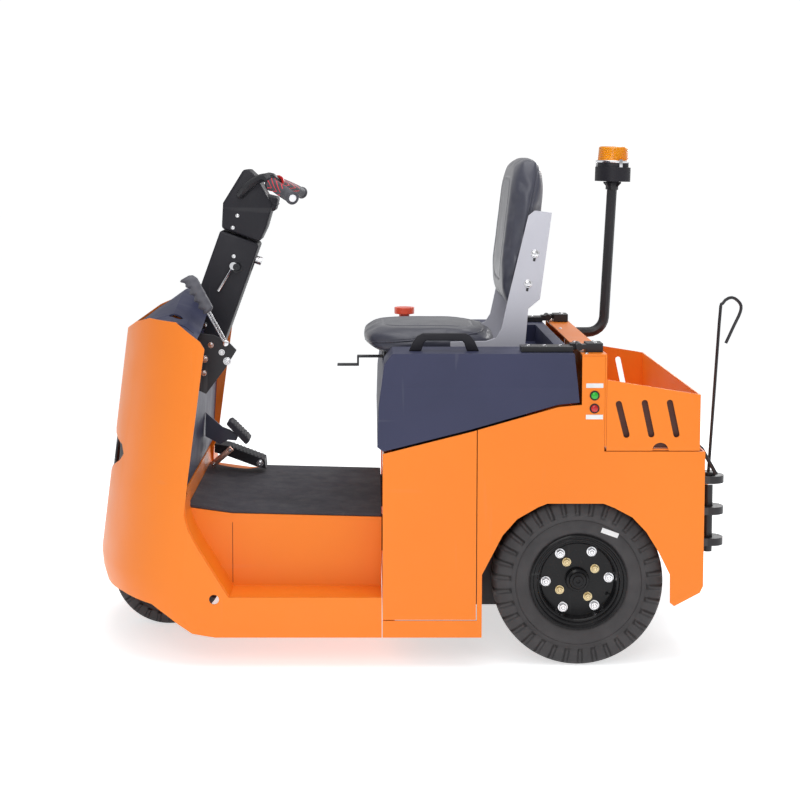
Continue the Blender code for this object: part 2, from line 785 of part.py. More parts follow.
def make_front_wheel(fork_axis, spin_axis):
    y = SHIELD_Y + FRONT_AXLE
    hub_z = FRONT_WHEEL_RADIUS
    half = FRONT_WHEEL_WIDTH / 2
    arm_x = half + SWING + 0.002
    crown_z = 2 * FRONT_WHEEL_RADIUS + 0.012
    crown_x = arm_x + 0.012
    crown = box("front_fork", (-crown_x, y - 0.045, crown_z), (crown_x, y + 0.045, crown_z + 0.014))
    for side in (1, -1):
        leg = box(
            "fork_leg",
            (min(side * arm_x, side * (arm_x + 0.012)), y - 0.028, hub_z - 0.030),
            (max(side * arm_x, side * (arm_x + 0.012)), y + 0.028, crown_z + 0.002),
        )
        join(crown, leg)
    kingpin = cylinder("kingpin", KINGPIN_RADIUS, (0, y, crown_z + 0.010), (0, y, crown_z + 0.055))
    axle = cylinder("front_axle_pin", STUB_RADIUS, (-arm_x - 0.006, y, hub_z), (arm_x + 0.006, y, hub_z))
    join(crown, kingpin, axle)
    finish(crown, IRON, 0.5, 0.4, axis=fork_axis)
    rim = turned(
        "front_rim",
        [
            (-half + 0.004, FRONT_RIM_RADIUS - 0.004),
            (-half + 0.004, FRONT_RIM_RADIUS + 0.009),
            (-half + 0.008, FRONT_RIM_RADIUS + 0.009),
            (-half + 0.008, FRONT_RIM_RADIUS),
            (half - 0.008, FRONT_RIM_RADIUS),
            (half - 0.008, FRONT_RIM_RADIUS + 0.009),
            (half - 0.004, FRONT_RIM_RADIUS + 0.009),
            (half - 0.004, FRONT_RIM_RADIUS - 0.004),
            (0.012, FRONT_RIM_RADIUS - 0.006),
            (0.012, 0.022),
            (half - 0.002, 0.022),
            (half - 0.002, STUB_RADIUS + BORE_CLEARANCE),
            (-half + 0.002, STUB_RADIUS + BORE_CLEARANCE),
            (-half + 0.002, 0.022),
            (-0.012, 0.022),
            (-0.012, FRONT_RIM_RADIUS - 0.006),
        ],
        (0, y, hub_z),
        24,
    )
    finish(rim, IRON, 0.4, 0.3, axis=spin_axis)
    profile = tyre_profile(FRONT_WHEEL_RADIUS, half, FRONT_RIM_RADIUS, half - 0.008)
    tyre = turned("front_tyre", profile, (0, y, hub_z), 32)
    finish(tyre, RUBBER, 0.85, axis=spin_axis)


def tyre_profile(radius, half, bead_radius, bead_half):
    """Half section mirrored: tread, rounded shoulder, bulging wall and bead."""
    bead = bead_radius + GAP
    wall = [
        (half * 0.72, radius),
        (half * 0.93, radius - (radius - bead) * 0.075),
        (half, radius - (radius - bead) * 0.22),
        (half * 0.985, bead + (radius - bead) * 0.42),
        (bead_half - GAP, bead + (radius - bead) * 0.13),
        (bead_half - GAP, bead),
    ]
    return wall + [(-x, r) for x, r in reversed(wall)]


# ---------------------------------------------------------------- rear end


ARCH_SHAPE = (
    (-0.236, 0.0255),
    (-0.187, 0.1215),
    (-0.152, 0.1615),
    (-0.102, 0.1905),
    (-0.080, 0.1992),
    (0.0545, 0.1992),
    (0.081, 0.1885),
    (0.124, 0.1655),
    (0.158, 0.1295),
    (0.189, 0.0795),
    (0.216, 0.0255),
)  # from the axle, for a wheel of ARCH_WHEEL
ARCH_WHEEL = 0.2075


def arch():
    """Wheel arch edge round the rear wheel, from its front foot to its rear foot."""
    scale = REAR_WHEEL_RADIUS / ARCH_WHEEL
    return [rear(REAR_AXLE + y * scale, REAR_WHEEL_RADIUS + z * scale) for y, z in ARCH_SHAPE]


HOOD_EDGE = ((0.001, 0.5325), (0.211, 0.586), (0.2835, 0.607), (0.419, 0.646), (0.4695, 0.651))
HOOD_GAP = 0.006


def hood_edge(drop):
    """Lower edge of the hood's side skirt in the side view, rear to front."""
    return [rear(y, z - drop) for y, z in reversed(HOOD_EDGE)]


PANEL_REAR = 0.225
PANEL_FOOT = 0.122


def make_rear_body():
    top = HOOD_HEIGHT - SHEET - GAP
    tail = BODY_LENGTH
    points = [
        rear(0.0, SILL_HEIGHT),
        (arch()[0][0], SILL_HEIGHT),
        *arch(),
        rear(tail - 0.079, 0.164),
        rear(tail - 0.069, 0.156),
        rear(tail - 0.0075, 0.189),
        rear(tail, 0.205),
        rear(tail, TRAY_FLOOR - SEAM),
        rear(DECK_END - SHEET - GAP, TRAY_FLOOR - SEAM),
        rear(DECK_END - SHEET - GAP, top),
        rear(DECK_START, top),
        rear(DECK_START, HOOD_EDGE[-1][1] - HOOD_GAP),
        *hood_edge(HOOD_GAP)[:3],
        rear(PANEL_REAR + SEAM, between(PANEL_REAR + SEAM, HOOD_EDGE) - HOOD_GAP),
        rear(PANEL_REAR + SEAM, PANEL_FOOT - SEAM),
        rear(0.0, PANEL_FOOT - SEAM),
    ]
    body = side_plate("rear_body", points, HALF - SHEET, HALF)
    other = side_plate("rear_body_right", points, -HALF, SHEET - HALF)
    inner = HALF - SHEET / 2
    wall_y, wall_x = BOX_Y + 0.003, HALF - SHEET - GAP
    front_wall = box("box_front", (-wall_x, wall_y, PANEL_FOOT - 0.020), (wall_x, wall_y + SHEET, 0.525))
    sill_low, sill_high = PANEL_FOOT - 0.034, PANEL_FOOT - 0.010
    sill = box("box_sill", (-inner, BOX_Y + 0.001, sill_low), (inner, BOX_Y + 0.030, sill_high))
    rear_wall = box("rear_wall", (-inner, TAIL_Y - SHEET, 0.205), (inner, TAIL_Y, TRAY_FLOOR - SEAM))
    hole_low, hole_high = RAIL_FOOT - RAIL_ROOM, RAIL_TOP + RAIL_ROOM
    for side in (1, -1):
        low, high = sorted((side * (RAIL_X + RAIL_ROOM), side * (RAIL_X - RAIL_WIDTH - RAIL_ROOM)))
        cut(front_wall, box("rail_hole", (low, BOX_Y - 0.05, hole_low), (high, BOX_Y + 0.05, hole_high)))
    join(body, other, front_wall, sill, rear_wall)
    finish(body, ORANGE, 0.35)
    for side, sign in (("left", 1), ("right", -1)):
        panel = side_plate(
            "access_panel_" + side,
            [
                rear(0.0, PANEL_FOOT),
                rear(PANEL_REAR, PANEL_FOOT),
                rear(PANEL_REAR, between(PANEL_REAR, HOOD_EDGE) - HOOD_GAP),
                rear(HOOD_EDGE[1][0], HOOD_EDGE[1][1] - HOOD_GAP),
                rear(0.0, HOOD_EDGE[0][1] - HOOD_GAP),
            ],
            sign * (HALF - SHEET),
            sign * HALF,
        )
        finish(panel, ORANGE, 0.35)


def make_deck():
    deck = bent_sheet(
        "deck",
        [rear(DECK_START, HOOD_HEIGHT), rear(DECK_END, HOOD_HEIGHT), rear(DECK_END, TRAY_FLOOR + 0.010)],
        -HALF,
        HALF,
    )
    return finish(deck, ORANGE, 0.35)


WALL_FRONT = 0.706
WALL_REAR = 0.670


def make_tray():
    start = DECK_END + GAP
    end = BODY_LENGTH - 0.013
    side_view = [
        rear(start, TRAY_FLOOR),
        rear(end, TRAY_FLOOR),
        rear(end, WALL_REAR),
        rear(start, WALL_FRONT),
    ]
    tray = side_plate("tray", side_view, -HALF, HALF)
    inside = [
        rear(start - 0.1, TRAY_FLOOR + SHEET),
        rear(end - SHEET, TRAY_FLOOR + SHEET),
        rear(end - SHEET, 0.9),
        rear(start - 0.1, 0.9),
    ]
    cut(tray, side_plate("tray_inside", inside, SHEET - HALF, HALF - SHEET))
    slots = ((0.561, 0.655, 0.584, 0.566), (0.623, 0.6575, 0.643, 0.567), (0.683, 0.658, 0.703, 0.567))
    for top_y, top_z, foot_y, foot_z in slots:
        slant = Vector((foot_y - top_y, foot_z - top_z)).normalized()
        across = Vector((-slant.y, slant.x)) * 0.0075
        upper = Vector(rear(top_y, top_z))
        lower = Vector(rear(foot_y, foot_z))
        corners = [upper - across, upper + across, lower + across, lower - across]
        points = rounded([tuple(point) for point in corners], 0.0072, 3)
        cut(tray, side_plate("tray_slot", points, -HALF - 0.05, HALF + 0.05))
    notch = cylinder(
        "tray_notch",
        0.0195,
        (-HALF - 0.05, BOX_Y + 0.6635, TRAY_FLOOR),
        (HALF + 0.05, BOX_Y + 0.6635, TRAY_FLOOR),
    )
    ends = box(
        "notch_limit",
        (SHEET - HALF, BOX_Y + 0.6, TRAY_FLOOR - 0.05),
        (HALF - SHEET, BOX_Y + 0.72, TRAY_FLOOR + 0.05),
    )
    combine(notch, [ends], "DIFFERENCE")
    cut(tray, notch)
    return finish(tray, ORANGE, 0.35)


def make_buttons():
    """Green and red inching buttons beside each other in one black surround."""
    y = BOX_Y + BUTTON_Y
    low, high = HALF + GAP, HALF + GAP + BUTTON_RIM
    green_z, red_z = BUTTON_Z
    surround = cylinder("inching_buttons", BUTTON_RING_RADIUS, (low, y, green_z), (high, y, green_z), 20)
    lower = cylinder("button_ring", BUTTON_RING_RADIUS, (low, y, red_z), (high, y, red_z), 20)
    web = box("button_web", (low, y - BUTTON_RADIUS, red_z), (high, y + BUTTON_RADIUS, green_z))
    caps = [
        cylinder("button_cap", BUTTON_RADIUS, (low + 0.001, y, z), (low + BUTTON_REACH, y, z), 20)
        for z in BUTTON_Z
    ]
    join(surround, lower, web, *caps)
    return finish(surround, BLACK, 0.4)


CREASE_DROP = 0.080  # the hood's sides lean in above a crease this far below its top
HOOD_TAPER = 0.010
HANDLE_RISE = 0.037
HANDLE_Y = (0.070, 0.227)  # feet, behind the seat box front
HANDLE_X = 0.335
STOP_PLACE = (-0.330, 0.066)


def make_hood(axis):
    wall = HOOD_TAPER + 0.002
    roof = SEAT_FLOOR - GAP - 0.014
    side_view = [
        *hood_edge(0),
        rear(-0.013, 0.543),
        rear(-0.010, 0.640),
        rear(0.004, HOOD_HEIGHT - 0.025),
        rear(0.024, HOOD_HEIGHT),
        rear(0.458, HOOD_HEIGHT),
    ]
    shape = side_plate("hood", side_view, -HALF, HALF)
    mesh = bmesh.new()
    mesh.from_mesh(shape.data)
    crease = HOOD_HEIGHT - CREASE_DROP
    geometry = mesh.verts[:] + mesh.edges[:] + mesh.faces[:]
    bmesh.ops.bisect_plane(mesh, geom=geometry, plane_co=(0, 0, crease), plane_no=(0, 0, 1), dist=0.00001)
    for vert in mesh.verts:
        rise = max(0.0, vert.co.z - crease) / CREASE_DROP
        vert.co.x -= math.copysign(HOOD_TAPER * rise, vert.co.x)
    mesh.to_mesh(shape.data)
    mesh.free()
    cavity = side_plate(
        "hood_cavity",
        [rear(-0.001, 0.45), rear(0.462, 0.45), rear(0.452, roof), rear(0.016, roof), rear(0.000, 0.640)],
        wall - HALF,
        HALF - wall,
    )
    recess = box(
        "seat_recess",
        (-SEAT_WELL, BOX_Y - 0.05, SEAT_FLOOR - GAP),
        (SEAT_WELL, BOX_Y + 0.430, HOOD_HEIGHT + 0.05),
    )
    cut(shape, cavity, recess)
    finish(shape, NAVY, 0.4, axis=axis)
    handle = tube(
        "hood_handle",
        [
            (HANDLE_X, BOX_Y + HANDLE_Y[0], HOOD_HEIGHT + GAP),
            (HANDLE_X, BOX_Y + HANDLE_Y[0], HOOD_HEIGHT + HANDLE_RISE),
            (HANDLE_X, BOX_Y + HANDLE_Y[1], HOOD_HEIGHT + HANDLE_RISE),
            (HANDLE_X, BOX_Y + HANDLE_Y[1], HOOD_HEIGHT + GAP),
        ],
        0.0065,
        3,
        0.014,
    )
    finish(handle, BLACK, 0.45, axis=axis)
    x, y = STOP_PLACE[0], BOX_Y + STOP_PLACE[1]
    stop = cylinder("emergency_stop", 0.015, (x, y, HOOD_HEIGHT + GAP), (x, y, HOOD_HEIGHT + 0.027), 20)
    head = cylinder("stop_head", 0.0285, (x, y, HOOD_HEIGHT + 0.023), (x, y, HOOD_HEIGHT + 0.041), 28)
    join(stop, head)
    finish(stop, (0.80, 0.07, 0.03), 0.35, axis=axis)


def make_hinges(axis):
    y, z = BOX_Y + HINGE_Y, HINGE_Z
    barrel = 0.009
    half_width = 0.025
    for side, sign in (("left", 1), ("right", -1)):
        inner = sign * (HINGE_X - half_width)
        outer = sign * (HINGE_X + half_width)
        middle = sign * HINGE_X
        low, high = sorted((inner, outer))
        split = middle - sign * 0.0004
        arm = box(
            "hinge_arm_" + side,
            (low, y - 0.140, HOOD_HEIGHT + GAP),
            (high, y - 0.016, z + 0.001),
        )
        web_low, web_high = sorted((inner, split))
        web = box("hinge_web", (web_low, y - 0.020, z - 0.009), (web_high, y, z + 0.006))
        eye = cylinder("hinge_eye", barrel, (inner, y, z), (split, y, z), 20)
        join(arm, web, eye)
        finish(arm, BLACK, 0.45, 0.3, axis=axis)
        split = middle + sign * 0.0004
        block = box(
            "hinge_block_" + side,
            (low, y + 0.016, HOOD_HEIGHT + GAP),
            (high, y + 0.056, z + 0.009),
        )
        web_low, web_high = sorted((outer, split))
        web = box("block_web", (web_low, y, z - 0.006), (web_high, y + 0.020, z + 0.006))
        eye = cylinder("block_eye", barrel, (outer, y, z), (split, y, z), 20)
        join(block, web, eye)
        finish(block, BLACK, 0.45, 0.3)


def seat_point(y, rise):
    """A side-view point measured from the box front and from the seat well's floor."""
    return rear(y, SEAT_FLOOR + rise)


CUSHION_RISE = 0.012
LEVER_X = (0.088, 0.112)
LEVER_DROP = 0.0205


def make_seat(axis):
    bracket_line = [
        seat_point(0.171, 0.002),
        seat_point(0.356, 0.002),
        seat_point(0.366, 0.1345),
        seat_point(0.395, 0.1585),
        seat_point(0.423, 0.3755),
        seat_point(0.380, 0.3805),
        seat_point(0.3645, 0.3680),
        seat_point(0.314, 0.1545),
        seat_point(0.299, 0.0835),
        seat_point(0.285, 0.0615),
        seat_point(0.262, 0.0535),
        seat_point(0.171, 0.0515),
    ]
    sheet = BRACKET_SHEET / 2
    left = side_plate("backrest_bracket", bracket_line, BRACKET_X - sheet, BRACKET_X + sheet)
    right = side_plate("bracket_right", bracket_line, -BRACKET_X - sheet, -BRACKET_X + sheet)
    base = box(
        "bracket_base",
        (-BRACKET_X, BOX_Y + 0.175, SEAT_FLOOR),
        (BRACKET_X, BOX_Y + 0.352, SEAT_FLOOR + BRACKET_SHEET),
    )
    back = side_plate(
        "bracket_back",
        [
            seat_point(0.354 - BRACKET_SHEET, 0),
            seat_point(0.354, 0),
            seat_point(0.364, 0.1195),
            seat_point(0.364 - BRACKET_SHEET, 0.1195),
        ],
        -BRACKET_X,
        BRACKET_X,
    )
    join(left, right, base, back)
    finish(left, STEEL, 0.35, 0.7, axis=axis)
    half = BRACKET_X - sheet - CUSHION_GAP
    cushion_line = [
        seat_point(-0.049, 0.0155),
        seat_point(-0.040, 0.0855),
        seat_point(0.288, 0.0795),
        seat_point(0.292, CUSHION_RISE),
        seat_point(0.000, CUSHION_RISE),
    ]
    cushion = side_plate("seat_cushion", rounded(cushion_line, 0.010, 3), -half, half)
    finish(cushion, (0.035, 0.034, 0.045), 0.35, axis=axis)
    backrest_line = [
        seat_point(0.3035, 0.1595),
        seat_point(0.300, 0.2395),
        seat_point(0.330, 0.4395),
        seat_point(0.352, 0.5115),
        seat_point(0.398, 0.5115),
        seat_point(0.408, 0.4495),
        seat_point(0.393, 0.2795),
        seat_point(0.352, 0.1415),
        seat_point(0.318, 0.1295),
    ]
    backrest = side_plate("backrest", rounded(backrest_line, 0.008, 2), -half, half)
    finish(backrest, (0.035, 0.034, 0.045), 0.35, axis=axis)
    low = SEAT_FLOOR
    lever_z = low - LEVER_DROP
    left_x, right_x = LEVER_X
    high = low + CUSHION_RISE - GAP
    base_plate = box("seat_base", (-0.150, BOX_Y + 0.004, low), (0.150, BOX_Y + 0.168, high))
    tongue = box("lever_tongue", (left_x, BOX_Y - 0.060, low + 0.001), (right_x, BOX_Y + 0.010, low + 0.006))
    drop = box("lever_drop", (left_x, BOX_Y - 0.064, lever_z), (right_x, BOX_Y - 0.059, low + 0.006))
    lever = box("lever_blade", (left_x, BOX_Y - 0.1145, lever_z), (right_x, BOX_Y - 0.059, lever_z + 0.005))
    join(base_plate, tongue, drop, lever)
    finish(base_plate, BLACK, 0.5, axis=axis)


def make_rear_wheels():
    y = BOX_Y + REAR_AXLE
    z = REAR_WHEEL_RADIUS
    half = REAR_WHEEL_WIDTH / 2
    for side, sign in (("left", 1), ("right", -1)):
        x = HALF - REAR_WHEEL_INSET - half
        axis = joint_axis("rear_axle_" + side, (sign * x, y, z))
        flange = half - 0.003
        rim = turned(
            "rear_rim_" + side,
            [
                (sign * across, radius)
                for across, radius in (
                    (-flange, REAR_RIM_RADIUS - 0.004),
                    (-flange, REAR_RIM_RADIUS + 0.0155),
                    (-flange + 0.005, REAR_RIM_RADIUS + 0.0155),
                    (-flange + 0.005, REAR_RIM_RADIUS),
                    (flange - 0.005, REAR_RIM_RADIUS),
                    (flange - 0.005, REAR_RIM_RADIUS + 0.0155),
                    (flange, REAR_RIM_RADIUS + 0.0155),
                    (flange, REAR_RIM_RADIUS - 0.004),
                    (0.020, REAR_RIM_RADIUS - 0.006),
                    (0.014, 0.090),
                    (0.014, 0.060),
                    (0.026, 0.054),
                    (0.026, 0.030),
                    (0.040, 0.027),
                    (0.040, STUB_RADIUS + BORE_CLEARANCE),
                    (-0.020, STUB_RADIUS + BORE_CLEARANCE),
                    (-0.020, 0.045),
                    (0.007, 0.060),
                    (0.007, REAR_RIM_RADIUS - 0.006),
                )
            ],
            (sign * x, y, z),
            24,
        )
        finish(rim, IRON, 0.35, 0.3, axis=axis)
        tyre = turned(
            "rear_tyre_" + side,
            tyre_profile(REAR_WHEEL_RADIUS, half, REAR_RIM_RADIUS, flange - 0.005),
            (sign * x, y, z),
            36,
        )
        finish(tyre, RUBBER, 0.85, axis=axis)


SHELF = 0.006
BATTERY_TOP = 0.600


def make_running_gear():
    y = BOX_Y + REAR_AXLE
    z = REAR_WHEEL_RADIUS
    hub = HALF - REAR_WHEEL_INSET - REAR_WHEEL_WIDTH / 2
    axle = cylinder("drive_axle", 0.036, (-hub + 0.056, y, z), (hub - 0.056, y, z), 24)
    stub = cylinder("axle_stub", STUB_RADIUS, (-hub - 0.036, y, z), (hub + 0.036, y, z), 16)
    gearbox = cylinder("axle_gearbox", 0.085, (-0.075, y, z), (0.065, y, z), 28)
    motor = cylinder("drive_motor", 0.075, (-0.15, y + 0.140, z + 0.030), (0.10, y + 0.140, z + 0.030), 28)
    case = box("motor_case", (-0.070, y, z - 0.060), (0.060, y + 0.140, z + 0.080))
    join(axle, stub, gearbox, motor, case)
    for side in (1, -1):
        outer, inner = side * (hub - 0.044), side * (hub - 0.058)
        flange = cylinder("hub_flange", 0.050, (outer, y, z), (inner, y, z), 24)
        join(axle, flange)
    finish(axle, IRON, 0.55, 0.4)
    fork_top = 2 * FRONT_WHEEL_RADIUS + 0.012 + 0.014
    head_low = fork_top + SWING
    frame = plan_plate(
        "underframe",
        [
            (RAIL_X, SHIELD_Y + 0.06),
            (RAIL_X, SHIELD_Y - 0.090),
            (0.120, SHIELD_Y - 0.160),
            (-0.120, SHIELD_Y - 0.160),
            (-RAIL_X, SHIELD_Y - 0.090),
            (-RAIL_X, SHIELD_Y + 0.06),
        ],
        head_low,
        head_low + 0.012,
    )
    shelf_foot = PANEL_FOOT - 0.004
    shelf_start, shelf_end = BOX_Y + 0.020, BOX_Y + 0.385
    rail_end = TAIL_Y - SHEET - GAP
    for side in (1, -1):
        low, high = sorted((side * RAIL_X, side * (RAIL_X - RAIL_WIDTH)))
        rail = box("frame_rail", (low, SHIELD_Y + 0.02, RAIL_FOOT), (high, rail_end, RAIL_TOP))
        deep = box("frame_web", (low, shelf_start, shelf_foot), (high, shelf_end, RAIL_FOOT + 0.01))
        join(frame, rail, deep)
    x = RAIL_X - RAIL_WIDTH / 2
    shelf = box("battery_shelf", (-x, shelf_start, shelf_foot), (x, shelf_end, shelf_foot + SHELF))
    cross = box("rear_cross", (-x, TAIL_Y - 0.035, RAIL_FOOT), (x, rail_end, RAIL_TOP))
    front_cross = box("front_cross", (-x, SHIELD_Y + 0.065, RAIL_FOOT), (x, SHIELD_Y + 0.085, RAIL_TOP))
    join(frame, shelf, cross, front_cross)
    kingpin_hole = cylinder(
        "kingpin_hole",
        KINGPIN_RADIUS + BORE_CLEARANCE,
        (0, SHIELD_Y + FRONT_AXLE, head_low - 0.05),
        (0, SHIELD_Y + FRONT_AXLE, head_low + 0.10),
    )
    cut(frame, kingpin_hole)
    finish(frame, IRON, 0.6, 0.3)
    battery = box(
        "battery",
        (0.004 + RAIL_WIDTH - RAIL_X, BOX_Y + 0.030, shelf_foot + SHELF + GAP),
        (RAIL_X - RAIL_WIDTH - 0.004, BOX_Y + 0.360, BATTERY_TOP),
    )
    finish(battery, (0.05, 0.05, 0.06), 0.6)


def make_beacon():
    wall_y = BOX_Y + DECK_END + GAP
    foot_z = HOOD_HEIGHT - 0.023
    top = Vector((BEACON_X, BOX_Y + 0.643, HOOD_HEIGHT + 0.398))
    pole = tube(
        "beacon_pole",
        [
            (BEACON_X, wall_y, foot_z),
            (BEACON_X, BOX_Y + 0.622, foot_z),
            tuple(top),
        ],
        0.014,
        3,
        0.045,
    )
    finish(pole, BLACK, 0.4)
    lean = Vector((0, 0.0262, 1.0)).normalized()
    base = cylinder("beacon_base", 0.049, top + lean * GAP, top + lean * 0.040, 32)
    neck = cylinder("beacon_neck", 0.043, top + lean * 0.035, top + lean * 0.055, 32)
    join(base, neck)
    finish(base, BLACK, 0.4)
    start = top + lean * (0.055 + GAP)
    lens = cylinder("beacon_lens", 0.0435, start, top + lean * 0.0975, 32, 0.0405)
    finish(lens, (0.95, 0.30, 0.02), 0.2)


def make_hitch():
    wall = TAIL_Y + GAP
    hole_y = BOX_Y + HITCH_HOLE
    levels = (0.386, 0.303, 0.220)
    half = 0.0325
    lip_half = 0.010
    hitch = box("hitch", (-0.060, wall, 0.185), (0.060, wall + 0.014, 0.420))
    for level in levels:
        end_y = hole_y + 0.008
        lip = box("hitch_lip", (-half, wall + 0.010, level - lip_half), (half, end_y, level + lip_half))
        end = cylinder("hitch_lip_end", half, (0, end_y, level - lip_half), (0, end_y, level + lip_half), 28)
        join(hitch, join(lip, end))
    bore = cylinder("hitch_bore", PIN_RADIUS + PIN_CLEARANCE, (0, hole_y, 0.15), (0, hole_y, 0.45), 24)
    cut(hitch, bore)
    finish(hitch, BLACK, 0.5)
    axis = joint_axis("tow_pin_lift", (0, hole_y, levels[0]))
    pin = cylinder("tow_pin", PIN_RADIUS, (0, hole_y, 0.190), (0, hole_y, levels[0] + 0.012), 24)
    collar_z = levels[0] + lip_half + GAP
    collar = cylinder("pin_collar", 0.019, (0, hole_y, collar_z), (0, hole_y, levels[0] + 0.018), 24)
    rod_radius = 0.0042
    loop_y = TAIL_Y + HITCH_REACH - rod_radius - 0.0015
    loop = [
        (0, hole_y, levels[0] + 0.014),
        (0, hole_y + 0.022, 0.800),
        (0, hole_y + 0.030, 0.850),
        (0, hole_y + 0.054, 0.866),
        (0, loop_y - 0.001, 0.850),
        (0, loop_y, 0.828),
        (0, hole_y + 0.060, 0.790),
        (0, hole_y + 0.040, 0.745),
    ]
    rod = tube("pin_rod", smooth_path(loop, 3), rod_radius, 2)
    join(pin, collar, rod)
    finish(pin, IRON, 0.45, 0.5, axis=axis)
    stay_radius = 0.005
    stay = tube(
        "hitch_stay",
        [
            (0.030, wall, 0.520),
            (0.030, wall + 0.012, 0.520),
            (0.030, TAIL_Y + 0.070, 0.470),
            (0.030, BOX_Y + 0.880, levels[0] + lip_half + GAP + stay_radius),
        ],
        stay_radius,
        2,
        0.006,
    )
    finish(stay, BLACK, 0.45)


head_axis = joint_axis("steering_axis", (0, *column_point(0)))
fork_axis = joint_axis("fork_axis", (0, SHIELD_Y + FRONT_AXLE, FRONT_WHEEL_RADIUS))
front_spin = joint_axis("front_wheel_axis", (0, SHIELD_Y + FRONT_AXLE, FRONT_WHEEL_RADIUS), fork_axis)
hood_axis = joint_axis("hood_hinge_axis", (0, *rear(HINGE_Y, HINGE_Z)))

make_front_cowl()
make_lamps()
make_dash_cover()
make_leg_shield()
make_footwell()
make_floor_mat()
make_controls()
make_column(head_axis)
make_column_fittings()
make_front_wheel(fork_axis, front_spin)
make_rear_body()
make_deck()
make_tray()
make_buttons()
make_hood(hood_axis)
make_hinges(hood_axis)
make_seat(hood_axis)
make_rear_wheels()
make_running_gear()
make_beacon()
make_hitch()
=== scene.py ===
import json
import math

import bmesh
import bpy
from mathutils import Matrix, Vector
from mathutils.bvhtree import BVHTree


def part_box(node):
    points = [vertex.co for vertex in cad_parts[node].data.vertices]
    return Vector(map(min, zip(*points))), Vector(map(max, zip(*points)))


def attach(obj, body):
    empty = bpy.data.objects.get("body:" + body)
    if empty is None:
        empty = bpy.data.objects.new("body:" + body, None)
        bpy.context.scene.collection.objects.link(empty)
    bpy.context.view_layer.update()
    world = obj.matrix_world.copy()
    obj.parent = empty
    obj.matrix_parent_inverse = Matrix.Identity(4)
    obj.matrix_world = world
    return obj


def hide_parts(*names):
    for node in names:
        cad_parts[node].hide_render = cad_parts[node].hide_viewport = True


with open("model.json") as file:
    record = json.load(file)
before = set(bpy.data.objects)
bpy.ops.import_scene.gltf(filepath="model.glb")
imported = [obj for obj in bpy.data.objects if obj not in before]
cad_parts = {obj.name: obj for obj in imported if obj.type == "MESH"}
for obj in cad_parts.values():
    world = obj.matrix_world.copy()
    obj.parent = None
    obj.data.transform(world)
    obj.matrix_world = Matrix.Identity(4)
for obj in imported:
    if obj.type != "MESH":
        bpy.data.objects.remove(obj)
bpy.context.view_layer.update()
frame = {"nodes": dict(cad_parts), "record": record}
nodes = frame["nodes"]
print("frame loaded:", len(nodes), "nodes")

# shader helpers


def put(tree, kind, settings=None, sockets=None):
    node = tree.nodes.new("ShaderNode" + kind)
    for key, value in (settings or {}).items():
        setattr(node, key, value)
    for key, value in (sockets or {}).items():
        if isinstance(value, bpy.types.NodeSocket):
            tree.links.new(value, node.inputs[key])
        else:
            node.inputs[key].default_value = value
    return node


def blendColors(tree, mask, low, high):
    mix = put(tree, "Mix", {"data_type": "RGBA"}, {0: mask, 6: low, 7: high})
    return mix.outputs[2]


def blendValues(tree, mask, low, high):
    mix = put(tree, "Mix", {"data_type": "FLOAT"}, {0: mask, 2: low, 3: high})
    return mix.outputs[0]


def ramped(tree, value, low, high, toLow=0.0, toHigh=1.0):
    sockets = {0: value, 1: low, 2: high, 3: toLow, 4: toHigh}
    return put(tree, "MapRange", {"clamp": True}, sockets).outputs[0]


def makeGroup(name, ins, outs):
    tree = bpy.data.node_groups.new(name, "ShaderNodeTree")
    for socketName, kind, value in ins:
        socket = tree.interface.new_socket(socketName, in_out="INPUT", socket_type=kind)
        socket.default_value = value
    for socketName, kind in outs:
        tree.interface.new_socket(socketName, in_out="OUTPUT", socket_type=kind)
    return tree, tree.nodes.new("NodeGroupInput").outputs, tree.nodes.new("NodeGroupOutput").inputs


def objectPoint(tree, scale=(1.0, 1.0, 1.0), turn=(0.0, 0.0, 0.0), shift=(0.0, 0.0, 0.0)):
    source = put(tree, "TexCoord").outputs["Object"]
    sockets = {"Vector": source, "Location": shift, "Rotation": turn, "Scale": scale}
    return put(tree, "Mapping", None, sockets).outputs[0]


floatSocket, colorSocket, vectorSocket = "NodeSocketFloat", "NodeSocketColor", "NodeSocketVector"


def makeDrift():  # slow change of tone over a surface
    tree, given, made = makeGroup(
        "toneDrift",
        [("Scale", floatSocket, 3.0), ("Low", floatSocket, 0.0), ("High", floatSocket, 1.0)],
        [("Value", floatSocket)],
    )
    sockets = {"Vector": objectPoint(tree), "Scale": given["Scale"], "Detail": 4.0}
    cloud = put(tree, "TexNoise", None, sockets).outputs[0]
    tree.links.new(ramped(tree, cloud, 0.3, 0.7, given["Low"], given["High"]), made["Value"])
    return tree


def makeGrain():  # moulded or sprayed surface grain, as a bump
    tree, given, made = makeGroup(
        "fineGrain",
        [
            ("Scale", floatSocket, 900.0),
            ("Strength", floatSocket, 0.2),
            ("Cells", floatSocket, 0.0),
            ("Height", floatSocket, 0.0002),
        ],
        [("Normal", vectorSocket)],
    )
    point = objectPoint(tree)
    cloud = put(tree, "TexNoise", None, {"Vector": point, "Scale": given["Scale"], "Detail": 3.0})
    cell = put(
        tree,
        "TexVoronoi",
        {"feature": "SMOOTH_F1"},
        {"Vector": point, "Scale": given["Scale"], "Smoothness": 0.6},
    )
    relief = blendValues(tree, given["Cells"], cloud.outputs[0], cell.outputs[0])
    sockets = {"Strength": given["Strength"], "Distance": given["Height"], "Height": relief}
    tree.links.new(put(tree, "Bump", None, sockets).outputs[0], made["Normal"])
    return tree


